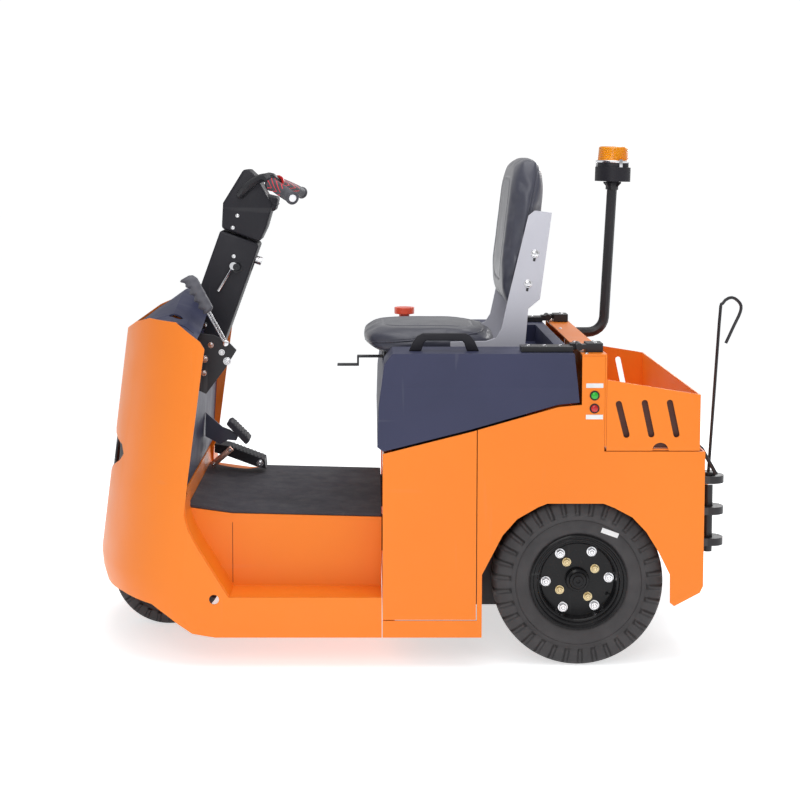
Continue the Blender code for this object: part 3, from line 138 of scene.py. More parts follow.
def makeEdge():  # hard edges broken up by noise, lighter partly from wear and partly from a painted highlight
    tree, given, made = makeGroup(
        "edgeWearAndPaintedHighlight",
        [("Radius", floatSocket, 0.002), ("Amount", floatSocket, 0.5), ("Scale", floatSocket, 60.0)],
        [("Mask", floatSocket)],
    )
    soft = put(tree, "Bevel", {"samples": 4}, {"Radius": given["Radius"]}).outputs[0]
    hard = put(tree, "NewGeometry").outputs["Normal"]
    likeness = put(tree, "VectorMath", {"operation": "DOT_PRODUCT"}, {0: soft, 1: hard})
    edge = ramped(tree, likeness.outputs["Value"], 0.99, 0.80)
    sockets = {"Vector": objectPoint(tree), "Scale": given["Scale"], "Detail": 5.0}
    broken = ramped(tree, put(tree, "TexNoise", None, sockets).outputs[0], 0.45, 0.62)
    wearAndHighlight = put(tree, "Math", {"operation": "MULTIPLY"}, {0: edge, 1: broken}).outputs[0]
    scaled = put(tree, "Math", {"operation": "MULTIPLY"}, {0: wearAndHighlight, 1: given["Amount"]})
    tree.links.new(scaled.outputs[0], made["Mask"])
    return tree


def makeDust():  # a thin veil on faces that look up
    tree, given, made = makeGroup(
        "dustVeil",
        [("Amount", floatSocket, 0.2), ("Scale", floatSocket, 14.0)],
        [("Mask", floatSocket)],
    )
    facing = put(tree, "SeparateXYZ", None, {0: put(tree, "NewGeometry").outputs["Normal"]})
    upward = ramped(tree, facing.outputs["Z"], 0.1, 1.0)
    sockets = {"Vector": objectPoint(tree), "Scale": given["Scale"], "Detail": 8.0, "Roughness": 0.65}
    cloud = ramped(tree, put(tree, "TexNoise", None, sockets).outputs[0], 0.42, 0.72)
    lying = put(tree, "Math", {"operation": "MULTIPLY"}, {0: upward, 1: cloud}).outputs[0]
    scaled = put(tree, "Math", {"operation": "MULTIPLY"}, {0: lying, 1: given["Amount"]})
    tree.links.new(scaled.outputs[0], made["Mask"])
    return tree


def makeScuffs():  # faint lines drawn out one way
    tree, given, made = makeGroup(
        "lineScuffs",
        [("Scale", floatSocket, 40.0), ("Amount", floatSocket, 0.2)],
        [("Mask", floatSocket)],
    )
    total = None
    for turn, stretch in ((0.3, (1.0, 0.06, 1.0)), (-0.5, (1.0, 1.0, 0.07))):
        point = objectPoint(tree, stretch, (turn, turn * 0.7, 0.2))
        sockets = {"Vector": point, "Scale": given["Scale"], "Detail": 2.0}
        line = ramped(tree, put(tree, "TexNoise", None, sockets).outputs[0], 0.68, 0.74)
        if total is None:
            total = line
        else:
            total = put(tree, "Math", {"operation": "MAXIMUM"}, {0: total, 1: line}).outputs[0]
    scaled = put(tree, "Math", {"operation": "MULTIPLY"}, {0: total, 1: given["Amount"]})
    tree.links.new(scaled.outputs[0], made["Mask"])
    return tree


effects = {
    "drift": makeDrift(),
    "grain": makeGrain(),
    "edge": makeEdge(),
    "dust": makeDust(),
    "scuffs": makeScuffs(),
}


def effect(tree, name, **values):
    node = tree.nodes.new("ShaderNodeGroup")
    node.node_tree = effects[name]
    for key, value in values.items():
        node.inputs[key].default_value = value
    return node.outputs[0]


def startMaterial(name, shaderValues):
    material = bpy.data.materials.new(name)
    material.use_nodes = True
    tree = material.node_tree
    shader = tree.nodes["Principled BSDF"]
    for key, value in shaderValues.items():
        shader.inputs[key].default_value = value
    return material, tree, shader


def solid(color):
    return (*color, 1.0)


def wire(tree, shader, tone, gloss, bump):
    for value, socket in ((tone, "Base Color"), (gloss, "Roughness"), (bump, "Normal")):
        tree.links.new(value, shader.inputs[socket])


def twoTones(tree, scale, low, high):
    return blendColors(tree, effect(tree, "drift", Scale=scale), solid(low), solid(high))


def surface(name, color, shade, rough, spread=0.06, drift=4.0, grain=(900.0, 0.15, 0.0), grainHeight=0.0002,
            edge=(0.0015, 0.0), edgeColor=(0.5, 0.5, 0.5), dust=0.1, dustColor=(0.42, 0.38, 0.34),
            scuffs=0.0, shaderValues=None):
    material, tree, shader = startMaterial(name, shaderValues or {})
    tone = twoTones(tree, drift, shade, color)
    gloss = effect(tree, "drift", Scale=drift * 3.7, Low=rough - spread, High=rough + spread)
    if scuffs:
        lines = effect(tree, "scuffs", Amount=scuffs)
        tone = blendColors(tree, lines, tone, solid([0.5 * x + 0.2 for x in color]))
        gloss = blendValues(tree, lines, gloss, min(1.0, rough + 0.25))
    if edge[1]:
        # edges are lightened: partly wear, partly a painted highlight
        edgeHighlightAndWear = effect(tree, "edge", Radius=edge[0], Amount=edge[1])
        tone = blendColors(tree, edgeHighlightAndWear, tone, solid(edgeColor))
    if dust:
        veil = effect(tree, "dust", Amount=dust)
        tone = blendColors(tree, veil, tone, solid(dustColor))
        gloss = blendValues(tree, veil, gloss, 0.85)
    scale, strength, cells = grain
    bump = effect(tree, "grain", Scale=scale, Strength=strength, Cells=cells, Height=grainHeight)
    wire(tree, shader, tone, gloss, bump)
    return material


orangePaint = surface(
    "orangePaint", (0.90, 0.225, 0.012), (0.86, 0.205, 0.010), 0.42, 0.05, 2.2, (1500.0, 0.22, 0.0), 0.00012,
    (0.0012, 0.35), (1.0, 0.40, 0.12), 0.05, (0.75, 0.38, 0.18), 0.04,
    {"Coat Weight": 0.10, "Coat Roughness": 0.15, "Specular IOR Level": 0.35},
)
navyCover = surface(
    "navyCover", (0.038, 0.042, 0.092), (0.033, 0.037, 0.080), 0.48, 0.05, 5.0, (1300.0, 0.35, 0.6), 0.00018,
    (0.0020, 0.25), (0.16, 0.17, 0.26), 0.10, (0.20, 0.20, 0.24), 0.10,
    {"Coat Weight": 0.05, "Coat Roughness": 0.35, "Specular IOR Level": 0.30},
)
navyPaint = surface(
    "navyPaint", (0.035, 0.038, 0.075), (0.030, 0.033, 0.065), 0.38, 0.05, 9.0, (1500.0, 0.2, 0.0), 0.00012,
    (0.0015, 0.5), (0.20, 0.20, 0.26), 0.15, (0.20, 0.20, 0.24), 0.15, {"Coat Weight": 0.15},
)
blackPlastic = surface(
    "blackPlastic", (0.017, 0.016, 0.022), (0.013, 0.013, 0.018), 0.50, 0.06, 7.0,
    (1100.0, 0.45, 0.7), 0.0002, (0.0015, 0.25), (0.12, 0.12, 0.14), 0.08, (0.14, 0.14, 0.16), 0.08,
    {"Specular IOR Level": 0.30},
)
blackSteel = surface(
    "blackSteel", (0.022, 0.022, 0.026), (0.017, 0.017, 0.021), 0.36, 0.06, 9.0, (1500.0, 0.2, 0.0), 0.00012,
    (0.0010, 0.5), (0.14, 0.14, 0.16), 0.10, (0.14, 0.135, 0.135), 0.15, {"Specular IOR Level": 0.40},
)
frameIron = surface(
    "frameIron", (0.030, 0.030, 0.033), (0.020, 0.020, 0.022), 0.55, 0.08, 12.0, (700.0, 0.4, 0.0), 0.0003,
    (0.0020, 0.6), (0.20, 0.19, 0.18), 0.35, (0.22, 0.19, 0.16), 0.2, {"Metallic": 0.2},
)
rimPaint = surface(
    "rimPaint", (0.008, 0.008, 0.009), (0.006, 0.006, 0.007), 0.24, 0.05, 14.0, (900.0, 0.08, 0.0), 0.00012,
    (0.0010, 0.3), (0.10, 0.10, 0.11), 0.10, (0.16, 0.15, 0.15), 0.08,
    {"Coat Weight": 0.15, "Coat Roughness": 0.08, "Specular IOR Level": 0.15},
)
pedalRubber = surface(
    "pedalRubber", (0.040, 0.039, 0.046), (0.032, 0.031, 0.037), 0.62, 0.07, 15.0,
    (1200.0, 0.5, 0.5), 0.00025, (0.0010, 0.5), (0.13, 0.13, 0.14), 0.2, (0.20, 0.18, 0.17), 0.1,
)
bracketSilver = surface(
    "bracketSilver", (0.58, 0.58, 0.64), (0.52, 0.52, 0.58), 0.42, 0.05, 5.0, (1600.0, 0.25, 0.0), 0.00012,
    (0.0012, 0.3), (0.75, 0.75, 0.80), 0.06, (0.45, 0.42, 0.40), 0.10, {"Metallic": 0.25},
)
brightMetal = surface(
    "brightMetal", (0.78, 0.78, 0.80), (0.66, 0.66, 0.68), 0.18, 0.07, 60.0, (2200.0, 0.1, 0.0), 0.0001,
    (0.0006, 0.2), (0.95, 0.95, 0.95), 0.08, (0.4, 0.38, 0.36), 0.25, {"Metallic": 1.0},
)
brassMetal = surface(
    "brassMetal", (0.72, 0.60, 0.36), (0.58, 0.46, 0.26), 0.26, 0.08, 60.0, (2200.0, 0.15, 0.0), 0.0001,
    (0.0006, 0.2), (0.95, 0.85, 0.6), 0.08, (0.4, 0.36, 0.3), 0.25, {"Metallic": 1.0},
)
batteryCase = surface(
    "batteryCase", (0.020, 0.020, 0.024), (0.014, 0.014, 0.017), 0.55, 0.06, 10.0, (900.0, 0.4, 0.3), 0.0003,
    (0.0020, 0.4), (0.12, 0.12, 0.13), 0.4, (0.20, 0.18, 0.16), 0.1,
)
stopRed = surface(
    "stopRed", (1.0, 0.125, 0.060), (0.93, 0.105, 0.050), 0.28, 0.04, 30.0, (1300.0, 0.1, 0.0), 0.0001,
    (0.0010, 0.3), (0.95, 0.25, 0.15), 0.10, (0.55, 0.3, 0.25), 0.1, {"Coat Weight": 0.3},
)
plateWhite = surface(
    "plateWhite", (0.80, 0.80, 0.80), (0.72, 0.72, 0.73), 0.35, 0.05, 40.0, (900.0, 0.1, 0.0), 0.0001,
    (0.0006, 0.2), (0.9, 0.9, 0.9), 0.05, (0.5, 0.48, 0.46), 0.1,
)
print("plain materials made")


def makeTyreRubber():  # the sidewall is smoother than the tread, and dust lies on the faces that look up
    material, tree, shader = startMaterial("tyreRubber", {"Specular IOR Level": 0.45})
    tone = twoTones(tree, 22.0, (0.030, 0.028, 0.030), (0.046, 0.042, 0.044))
    veil = effect(tree, "dust", Amount=0.30)
    tone = blendColors(tree, veil, tone, solid((0.15, 0.135, 0.125)))
    # lighter tyre edges: partly wear, partly a painted highlight
    edgeHighlightAndWear = effect(tree, "edge", Radius=0.002, Amount=0.6)
    tone = blendColors(tree, edgeHighlightAndWear, tone, solid((0.10, 0.095, 0.095)))
    gloss = blendValues(tree, veil, effect(tree, "drift", Scale=30.0, Low=0.50, High=0.68), 0.9)
    bump = effect(tree, "grain", Scale=650.0, Strength=0.35, Cells=0.35, Height=0.0003)
    wire(tree, shader, tone, gloss, bump)
    return material


def makeSeatVinyl():  # soft cells and creases pressed into the cover
    values = {"Sheen Weight": 0.20, "Coat Weight": 0.22, "Coat Roughness": 0.28}
    material, tree, shader = startMaterial("seatVinyl", values)
    point = objectPoint(tree)
    tone = twoTones(tree, 9.0, (0.036, 0.038, 0.058), (0.046, 0.048, 0.072))
    tone = blendColors(tree, effect(tree, "dust", Amount=0.12), tone, solid((0.16, 0.15, 0.16)))
    gloss = effect(tree, "drift", Scale=24.0, Low=0.33, High=0.46)
    cellSockets = {"Vector": point, "Scale": 520.0, "Randomness": 0.95}
    cells = put(tree, "TexVoronoi", {"feature": "DISTANCE_TO_EDGE"}, cellSockets).outputs[0]
    creases = put(tree, "TexNoise", None, {"Vector": point, "Scale": 60.0, "Detail": 6.0, "Distortion": 0.8})
    relief = blendValues(tree, 0.10, ramped(tree, cells, 0.0, 0.25), creases.outputs[0])
    bump = put(tree, "Bump", None, {"Strength": 0.22, "Distance": 0.0003, "Height": relief})
    wire(tree, shader, tone, gloss, bump.outputs[0])
    return material


def makeMatRubber():  # a pebbled mat, a little paler where shoes rub it
    material, tree, shader = startMaterial("matRubber", {"Specular IOR Level": 0.35})
    tone = twoTones(tree, 5.0, (0.034, 0.033, 0.042), (0.052, 0.050, 0.064))
    tone = blendColors(tree, effect(tree, "dust", Amount=0.22, Scale=30.0), tone, solid((0.17, 0.155, 0.15)))
    tone = blendColors(tree, effect(tree, "scuffs", Amount=0.25), tone, solid((0.12, 0.115, 0.12)))
    pebbleSockets = {"Vector": objectPoint(tree), "Scale": 330.0, "Smoothness": 0.4}
    pebbles = put(tree, "TexVoronoi", {"feature": "SMOOTH_F1"}, pebbleSockets).outputs[0]
    bump = put(tree, "Bump", {"invert": True}, {"Strength": 0.6, "Distance": 0.0006, "Height": pebbles})
    wire(tree, shader, tone, effect(tree, "drift", Scale=18.0, Low=0.60, High=0.78), bump.outputs[0])
    return material


def makeAmberLens():  # tinted clear plastic over a lamp
    values = {
        "Transmission Weight": 0.35, "IOR": 1.49, "Coat Weight": 0.15, "Specular IOR Level": 0.25,
        "Emission Strength": 0.04,
    }
    material, tree, shader = startMaterial("amberLens", values)
    tone = twoTones(tree, 28.0, (0.86, 0.27, 0.001), (0.92, 0.37, 0.002))
    tree.links.new(tone, shader.inputs["Emission Color"])
    gloss = effect(tree, "drift", Scale=60.0, Low=0.12, High=0.22)
    bump = effect(tree, "grain", Scale=160.0, Strength=0.15, Cells=0.8, Height=0.0008)
    wire(tree, shader, tone, gloss, bump)
    return material


def makeLampLens():
    values = {"Coat Weight": 0.8, "Coat Roughness": 0.04, "Metallic": 0.75}
    material, tree, shader = startMaterial("lampLens", values)
    tone = twoTones(tree, 40.0, (0.55, 0.57, 0.62), (0.82, 0.84, 0.88))
    gloss = effect(tree, "drift", Scale=70.0, Low=0.10, High=0.22)
    wire(tree, shader, tone, gloss, effect(tree, "grain", Scale=90.0, Strength=0.2, Cells=1.0, Height=0.001))
    return material


def makeGripRubber():  # the chevrons follow the grip's own map: u runs round it and v along it
    material, tree, shader = startMaterial("gripRubber", {"Specular IOR Level": 0.4})
    mapping = put(tree, "SeparateXYZ", None, {0: put(tree, "UVMap").outputs[0]})
    u, v = mapping.outputs["X"], mapping.outputs["Y"]
    folded = put(tree, "Math", {"operation": "PINGPONG"}, {0: u, 1: 0.25}).outputs[0]
    slope = put(tree, "Math", {"operation": "MULTIPLY_ADD"}, {0: folded, 1: 2.3, 2: v}).outputs[0]
    wave = put(tree, "Math", {"operation": "PINGPONG"}, {0: slope, 1: 0.125}).outputs[0]
    stripe = ramped(tree, wave, 0.026, 0.033, 1.0, 0.0)
    inside = ramped(tree, v, 0.66, 0.68, 1.0, 0.0)
    stripe = put(tree, "Math", {"operation": "MULTIPLY"}, {0: stripe, 1: inside}).outputs[0]
    dark = twoTones(tree, 40.0, (0.050, 0.050, 0.060), (0.085, 0.085, 0.10))
    tone = blendColors(tree, stripe, dark, solid((0.72, 0.035, 0.060)))
    gloss = effect(tree, "drift", Scale=50.0, Low=0.48, High=0.62)
    bump = effect(tree, "grain", Scale=1400.0, Strength=0.5, Cells=0.5, Height=0.0002)
    wire(tree, shader, tone, gloss, bump)
    return material


tyreRubber = makeTyreRubber()
seatVinyl = makeSeatVinyl()
matRubber = makeMatRubber()
amberLens = makeAmberLens()
lampLens = makeLampLens()
gripRubber = makeGripRubber()
brakeGrip = surface(
    "brakeGrip", (0.105, 0.105, 0.125), (0.085, 0.085, 0.102), 0.52, 0.07, 30.0, (1400.0, 0.4, 0.4), 0.0002,
    (0.0012, 0.4), (0.22, 0.22, 0.25), 0.1, (0.3, 0.3, 0.3), 0.1,
)
buttonGreen = surface(
    "buttonGreen", (0.01, 0.42, 0.02), (0.008, 0.35, 0.015), 0.22, 0.04, 60.0, (1300.0, 0.1, 0.0), 0.0001,
    (0.0008, 0.2), (0.2, 0.8, 0.3), 0.05, (0.3, 0.5, 0.3), 0.05, {"Coat Weight": 0.5},
)
buttonRed = surface(
    "buttonRed", (0.55, 0.004, 0.006), (0.47, 0.003, 0.005), 0.22, 0.04, 60.0, (1300.0, 0.1, 0.0), 0.0001,
    (0.0008, 0.2), (0.9, 0.2, 0.15), 0.05, (0.5, 0.3, 0.3), 0.05, {"Coat Weight": 0.5},
)
# dark brown for the sheet of painted shade inside the tray
trayShadeBrown = surface(
    "trayShadeBrown", (0.105, 0.036, 0.024), (0.080, 0.026, 0.018), 0.60, 0.07, 15.0,
    (1200.0, 0.4, 0.4), 0.00025, (0.0008, 0.4), (0.20, 0.10, 0.08), 0.2, (0.24, 0.15, 0.12), 0.2,
)
seamShade = surface(
    "seamShade", (0.30, 0.070, 0.012), (0.25, 0.055, 0.010), 0.60, 0.06, 20.0, (900.0, 0.2, 0.2), 0.0001,
    (0.0004, 0.2), (0.35, 0.10, 0.03), 0.1, (0.20, 0.10, 0.06), 0.1,
)
linkCopper = surface(
    "linkCopper", (0.66, 0.40, 0.32), (0.56, 0.32, 0.26), 0.30, 0.06, 50.0, (1800.0, 0.2, 0.0), 0.0001,
    (0.0008, 0.3), (0.85, 0.65, 0.55), 0.1, (0.4, 0.34, 0.3), 0.2, {"Metallic": 0.8},
)
slotMaterials = {
    "orange_paint": orangePaint,
    "navy_cover": navyCover,
    "navy_paint": navyPaint,
    "black_plastic": blackPlastic,
    "black_steel": blackSteel,
    "frame_iron": frameIron,
    "rim_paint": rimPaint,
    "tyre": tyreRubber,
    "mat_rubber": matRubber,
    "seat_cover": seatVinyl,
    "bracket_silver": bracketSilver,
    "bright_metal": brightMetal,
    "lamp_lens": lampLens,
    "beacon_amber": amberLens,
    "stop_red": stopRed,
    "battery_case": batteryCase,
}
slotOf = {row["node"]: row["material_slot"] for row in frame["record"]["subparts"]}
bodyOf = {node: body for body, names in frame["record"]["behaviour"]["bodies"].items() for node in names}
print("materials made")

# modelling helpers


def finishPiece(name, shape, material, body, angle=35.0, replaced=()):
    mesh = bpy.data.meshes.new(name)
    shape.to_mesh(mesh)
    shape.free()
    for polygon in mesh.polygons:
        polygon.use_smooth = True
    mesh.set_sharp_from_angle(angle=math.radians(angle))
    piece = bpy.data.objects.new(name, mesh)
    bpy.context.scene.collection.objects.link(piece)
    mesh.materials.append(material)
    if replaced:
        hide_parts(*replaced)
    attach(piece, body)
    return piece


def outward(shape, verts=None):
    faces = shape.faces if verts is None else list({face for vert in verts for face in vert.link_faces})
    bmesh.ops.recalc_face_normals(shape, faces=faces)


def softenEdges(shape, edges, width, segments=2):
    bmesh.ops.bevel(
        shape, geom=edges, offset=width, offset_type="OFFSET", segments=segments, profile=0.5,
        affect="EDGES", material=-1, clamp_overlap=True,
    )


def sharpEdges(shape, angle):
    limit = math.radians(angle)
    return [e for e in shape.edges if len(e.link_faces) == 2 and e.calc_face_angle(0.0) > limit]


def addBox(shape, low, high, width=0.0, segments=2, spot=None):
    low, high = Vector(low), Vector(high)
    before = set(shape.verts)
    verts = bmesh.ops.create_cube(shape, size=1.0)["verts"]
    bmesh.ops.scale(shape, vec=high - low, verts=verts)
    bmesh.ops.translate(shape, vec=(low + high) / 2, verts=verts)
    if width:
        softenEdges(shape, list({e for v in verts for e in v.link_edges}), width, segments)
    made = [v for v in shape.verts if v not in before]
    if spot is not None:
        bmesh.ops.transform(shape, matrix=spot, verts=made)
    return made


def alongAxis(start, end):  # turns +Z to the line from start to end and moves the origin to start
    line = Vector(end) - Vector(start)
    return Matrix.Translation(start) @ line.to_track_quat("Z", "Y").to_matrix().to_4x4()


def addDrum(shape, start, end, radius, sides=32, width=0.0, segments=2):
    start, end = Vector(start), Vector(end)
    length = (end - start).length
    made = bmesh.ops.create_cone(
        shape, cap_ends=True, segments=sides, radius1=radius, radius2=radius, depth=length,
    )["verts"]
    bmesh.ops.translate(shape, vec=(0, 0, length / 2), verts=made)
    bmesh.ops.transform(shape, matrix=alongAxis(start, end), verts=made)
    if width:
        rims = {e for v in made for e in v.link_edges if any(len(f.verts) == sides for f in e.link_faces)}
        softenEdges(shape, list(rims), width, segments)
    return made


def addTurned(shape, outline, start, end, sides=48, closed=False):
    verts = [shape.verts.new((radius, 0.0, along)) for radius, along in outline]
    edges = [shape.edges.new(pair) for pair in zip(verts, verts[1:])]
    if closed:
        edges.append(shape.edges.new((verts[-1], verts[0])))
    before = set(shape.verts) - set(verts)
    bmesh.ops.spin(
        shape, geom=verts + edges, cent=(0, 0, 0), axis=(0, 0, 1), angle=math.tau,
        steps=sides, use_merge=True, use_normal_flip=False, use_duplicate=False,
    )
    made = [v for v in shape.verts if v not in before]
    bmesh.ops.remove_doubles(shape, verts=made, dist=0.00001)
    made = [v for v in shape.verts if v not in before]
    outward(shape, made)
    bmesh.ops.transform(shape, matrix=alongAxis(start, end), verts=made)
    return made


def sweep(shape, sides, radius, places):  # draws a ring through a list of placings
    ring = bmesh.ops.create_circle(shape, cap_ends=False, segments=sides, radius=radius)["verts"]
    before = set(shape.verts) - set(ring)
    loop = list({e for v in ring for e in v.link_edges})
    bmesh.ops.transform(shape, matrix=places[0], verts=ring)
    for was, place in zip(places, places[1:]):
        made = bmesh.ops.extrude_edge_only(shape, edges=loop)["geom"]
        ring = [g for g in made if isinstance(g, bmesh.types.BMVert)]
        loop = [g for g in made if isinstance(g, bmesh.types.BMEdge)]
        bmesh.ops.transform(shape, matrix=place @ was.inverted(), verts=ring)
    return [v for v in shape.verts if v not in before]


def closeEnds(shape, made):
    ends = [e for e in {e for v in made for e in v.link_edges} if len(e.link_faces) == 1]
    bmesh.ops.holes_fill(shape, edges=ends, sides=0)
    outward(shape, made)


def addTube(shape, path, radius, sides=12):
    path = [Vector(p) for p in path]
    total = len(path) - 1
    turn, last, places = None, None, []
    for i, point in enumerate(path):
        ahead = (path[min(i + 1, total)] - path[max(i - 1, 0)]).normalized()
        turn = last.rotation_difference(ahead) @ turn if turn else ahead.to_track_quat("Z", "Y")
        last = ahead
        places.append(Matrix.Translation(point) @ turn.to_matrix().to_4x4() @ Matrix.Scale(radius, 4))
    closeEnds(shape, sweep(shape, sides, 1.0, places))


def addBolt(shape, foot, outwardLine, radius, height=None, kind="hex"):
    foot, line = Vector(foot), Vector(outwardLine).normalized()
    height = radius * 0.7 if height is None else height
    washer = foot + line * height * 0.22
    addDrum(shape, foot, washer, radius * 1.28, sides=20, width=radius * 0.06, segments=1)
    top = foot + line * (height + height * 0.22)
    if kind == "hex":
        addDrum(shape, foot + line * height * 0.2, top, radius, sides=6, width=radius * 0.10, segments=1)
        tip = top + line * height * 0.25
        addDrum(shape, top - line * 0.0002, tip, radius * 0.48, sides=12, width=radius * 0.1, segments=1)
    else:  # a round head with a sunk socket
        shares = ((0, 0.35), (0.42, 0.35), (0.46, 1), (0.72, 0.96), (0.94, 0.72), (1, 0.35), (1, 0), (0, 0))
        outline = [(r * radius, z * height) for r, z in shares]
        addTurned(shape, outline, foot + line * height * 0.2, top, 16)


# CAD nodes: each gets its finish, and most also rounded edges


def mergedCopy(node):
    shape = bmesh.new()
    shape.from_mesh(nodes[node].data)
    bmesh.ops.remove_doubles(shape, verts=shape.verts, dist=0.00002)
    bmesh.ops.dissolve_degenerate(shape, edges=shape.edges, dist=0.00002)
    return shape


roundedNodes = {  # node: edge width
    "front_cowl": 0.0007, "footwell_tub": 0.0007, "rear_body": 0.0007, "access_panel_left": 0.0007,
    "access_panel_right": 0.0007, "deck": 0.0007, "tray": 0.0007, "dash_cover": 0.0014,
    "leg_shield": 0.0010, "hood": 0.0022, "lamp_panel": 0.0008, "column_cover": 0.0060,
    "column_head": 0.0060, "beacon_pole": 0.0, "beacon_base": 0.0010, "backrest_bracket": 0.0008,
    "seat_base": 0.0010, "floor_mat": 0.0012, "brake_pedal_arm": 0.0010, "brake_pedal_pad": 0.0012,
    "accelerator_pedal": 0.0012, "handlebar_left": 0.0, "handlebar_right": 0.0,
    "parking_brake_bracket": 0.0008, "hinge_arm_left": 0.0010, "hinge_arm_right": 0.0010,
    "hinge_block_left": 0.0010, "hinge_block_right": 0.0010, "hitch": 0.0014, "hitch_stay": 0.0,
    "tow_pin": 0.0, "underframe": 0.0010, "front_fork": 0.0014, "drive_axle": 0.0012,
    "battery": 0.0030, "front_rim": 0.0006, "column_lever": 0.0, "key_switch": 0.0006,
    "emergency_stop": 0.0010,
}


def finishNodes():
    for node, width in roundedNodes.items():
        shape = mergedCopy(node)
        bmesh.ops.dissolve_limit(
            shape, angle_limit=math.radians(0.4), use_dissolve_boundaries=False,
            verts=shape.verts, edges=shape.edges, delimit=set(),
        )
        piece = finishPiece(
            node + "_finish", shape, slotMaterials[slotOf[node]], bodyOf[node], 32.0, (node,)
        )
        if width:
            rounding = piece.modifiers.new("rounding", "BEVEL")
            rounding.width = width
            rounding.segments = 2
            rounding.limit_method = "ANGLE"
            rounding.angle_limit = math.radians(38)
            rounding.use_clamp_overlap = True
            rounding.harden_normals = True
    for name, node in nodes.items():
        node.data.materials.clear()
        node.data.materials.append(slotMaterials[slotOf[name]])


finishNodes()
print("nodes finished:", len(roundedNodes))

# finding a place on a CAD node


def treeOf(mesh):
    shape = bmesh.new()
    shape.from_mesh(mesh)
    tree = BVHTree.FromBMesh(shape)
    shape.free()
    return tree


trees = {}


def placeOn(node, origin, direction):  # where a line from origin first meets the node
    if node not in trees:
        trees[node] = treeOf(nodes[node].data)
    found = trees[node].ray_cast(Vector(origin), Vector(direction).normalized())
    if found[0] is None:
        raise ValueError("nothing of " + node + " lies on that line")
    return found[0]


# tyres

rearTyreLook = {
    "lugs": 34,
    "depth": 0.0125,  # of the grooves
    "seat": 0.1022,  # radius on the rim
    "beadSide": 0.83,
    "beadDrop": 0.86,
    "edge": 0.0011,
}
frontTyreLook = {
    "lugs": 26,
    "depth": 0.0095,
    "seat": 0.0665,
    "beadSide": 0.775,
    "beadDrop": 0.88,
    "edge": 0.0009,
}
tyreSection = [  # share of the half width, share of the section's height below the crown
    (0.0, 0.0), (0.10, 0.0), (0.24, 0.002), (0.40, 0.005), (0.56, 0.010), (0.70, 0.020),
    (0.81, 0.042), (0.885, 0.085), (0.93, 0.15), (0.965, 0.24), (0.985, 0.33), (0.995, 0.405),
    (0.975, 0.425), (0.955, 0.437), (0.955, 0.500), (0.948, 0.512), (0.928, 0.520), (0.948, 0.528),
    (0.960, 0.545), (0.966, 0.62), (0.956, 0.71), (0.932, 0.78), (0.90, 0.82),
]
stepsPerLug = 7
lugEnd = 0.41


def makeTyre(node, look):
    low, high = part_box(node)
    centre = (low + high) / 2
    half = (high.x - low.x) / 2
    radius = (high.z - low.z) / 2
    tall = radius - look["seat"]
    outline = [(side * half, radius - drop * tall) for side, drop in tyreSection]
    outline.append(((look["beadSide"] + 0.012) * half, radius - (look["beadDrop"] - 0.012) * tall))
    outline.append((look["beadSide"] * half, radius - look["beadDrop"] * tall))
    outline.append((look["beadSide"] * half, look["seat"]))
    whole = [(-side, r) for side, r in reversed(outline[1:])] + outline
    shape = bmesh.new()
    verts = [shape.verts.new((r, 0.0, side)) for side, r in whole]
    edges = [shape.edges.new((a, b)) for a, b in zip(verts, verts[1:] + verts[:1])]
    steps = look["lugs"] * stepsPerLug
    bmesh.ops.spin(
        shape, geom=verts + edges, cent=(0, 0, 0), axis=(0, 0, 1), angle=math.tau,
        steps=steps, use_merge=True, use_normal_flip=False, use_duplicate=False,
    )
    bmesh.ops.remove_doubles(shape, verts=shape.verts, dist=0.00001)
    outward(shape)
    grooves = []
    for face in shape.faces:
        middle = face.calc_center_median()
        reach = math.hypot(middle.x, middle.y)
        step = int(math.atan2(middle.y, middle.x) / math.tau * steps + steps) % stepsPerLug
        if (radius - reach) / tall < lugEnd and reach > look["seat"] * 1.1 and step < 2:
            grooves.append(face)
    made = bmesh.ops.extrude_face_region(shape, geom=grooves)["geom"]
    for vert in [g for g in made if isinstance(g, bmesh.types.BMVert)]:
        radial = Vector((vert.co.x, vert.co.y, 0.0))
        drop = (radius - radial.length) / tall
        toSide = min(1.0, max(0.0, (drop - 0.01) / 0.14))
        depth = look["depth"] * max(0.22, 1.0 - 0.9 * drop / lugEnd)
        inward = -radial.normalized() * (1.0 - toSide) - Vector((0, 0, math.copysign(toSide, vert.co.z)))
        vert.co += inward.normalized() * depth
    for vert in shape.verts:  # the lugs lean, so the grooves run slanting to the middle
        side = min(1.0, abs(vert.co.z) / (0.8 * half))
        lean = 0.07 * (1.0 - side) ** 1.2 * math.tau / look["lugs"]
        vert.co.rotate(Matrix.Rotation(lean, 3, "Z"))
    beyond = look["seat"] * 1.2
    lips = [e for e in sharpEdges(shape, 42.0) if e.is_convex and e.verts[0].co.xy.length > beyond]
    softenEdges(shape, lips, look["edge"], 1)
    place = Matrix.Translation(centre) @ Matrix.Rotation(math.pi / 2, 4, "Y")
    bmesh.ops.transform(shape, matrix=place, verts=shape.verts)
    outward(shape)
    finishPiece(node + "_treaded", shape, tyreRubber, bodyOf[node], 40.0, (node,))


makeTyre("rear_tyre_left", rearTyreLook)
makeTyre("rear_tyre_right", rearTyreLook)
makeTyre("front_tyre", frontTyreLook)
print("tyres made")

# wheel fittings

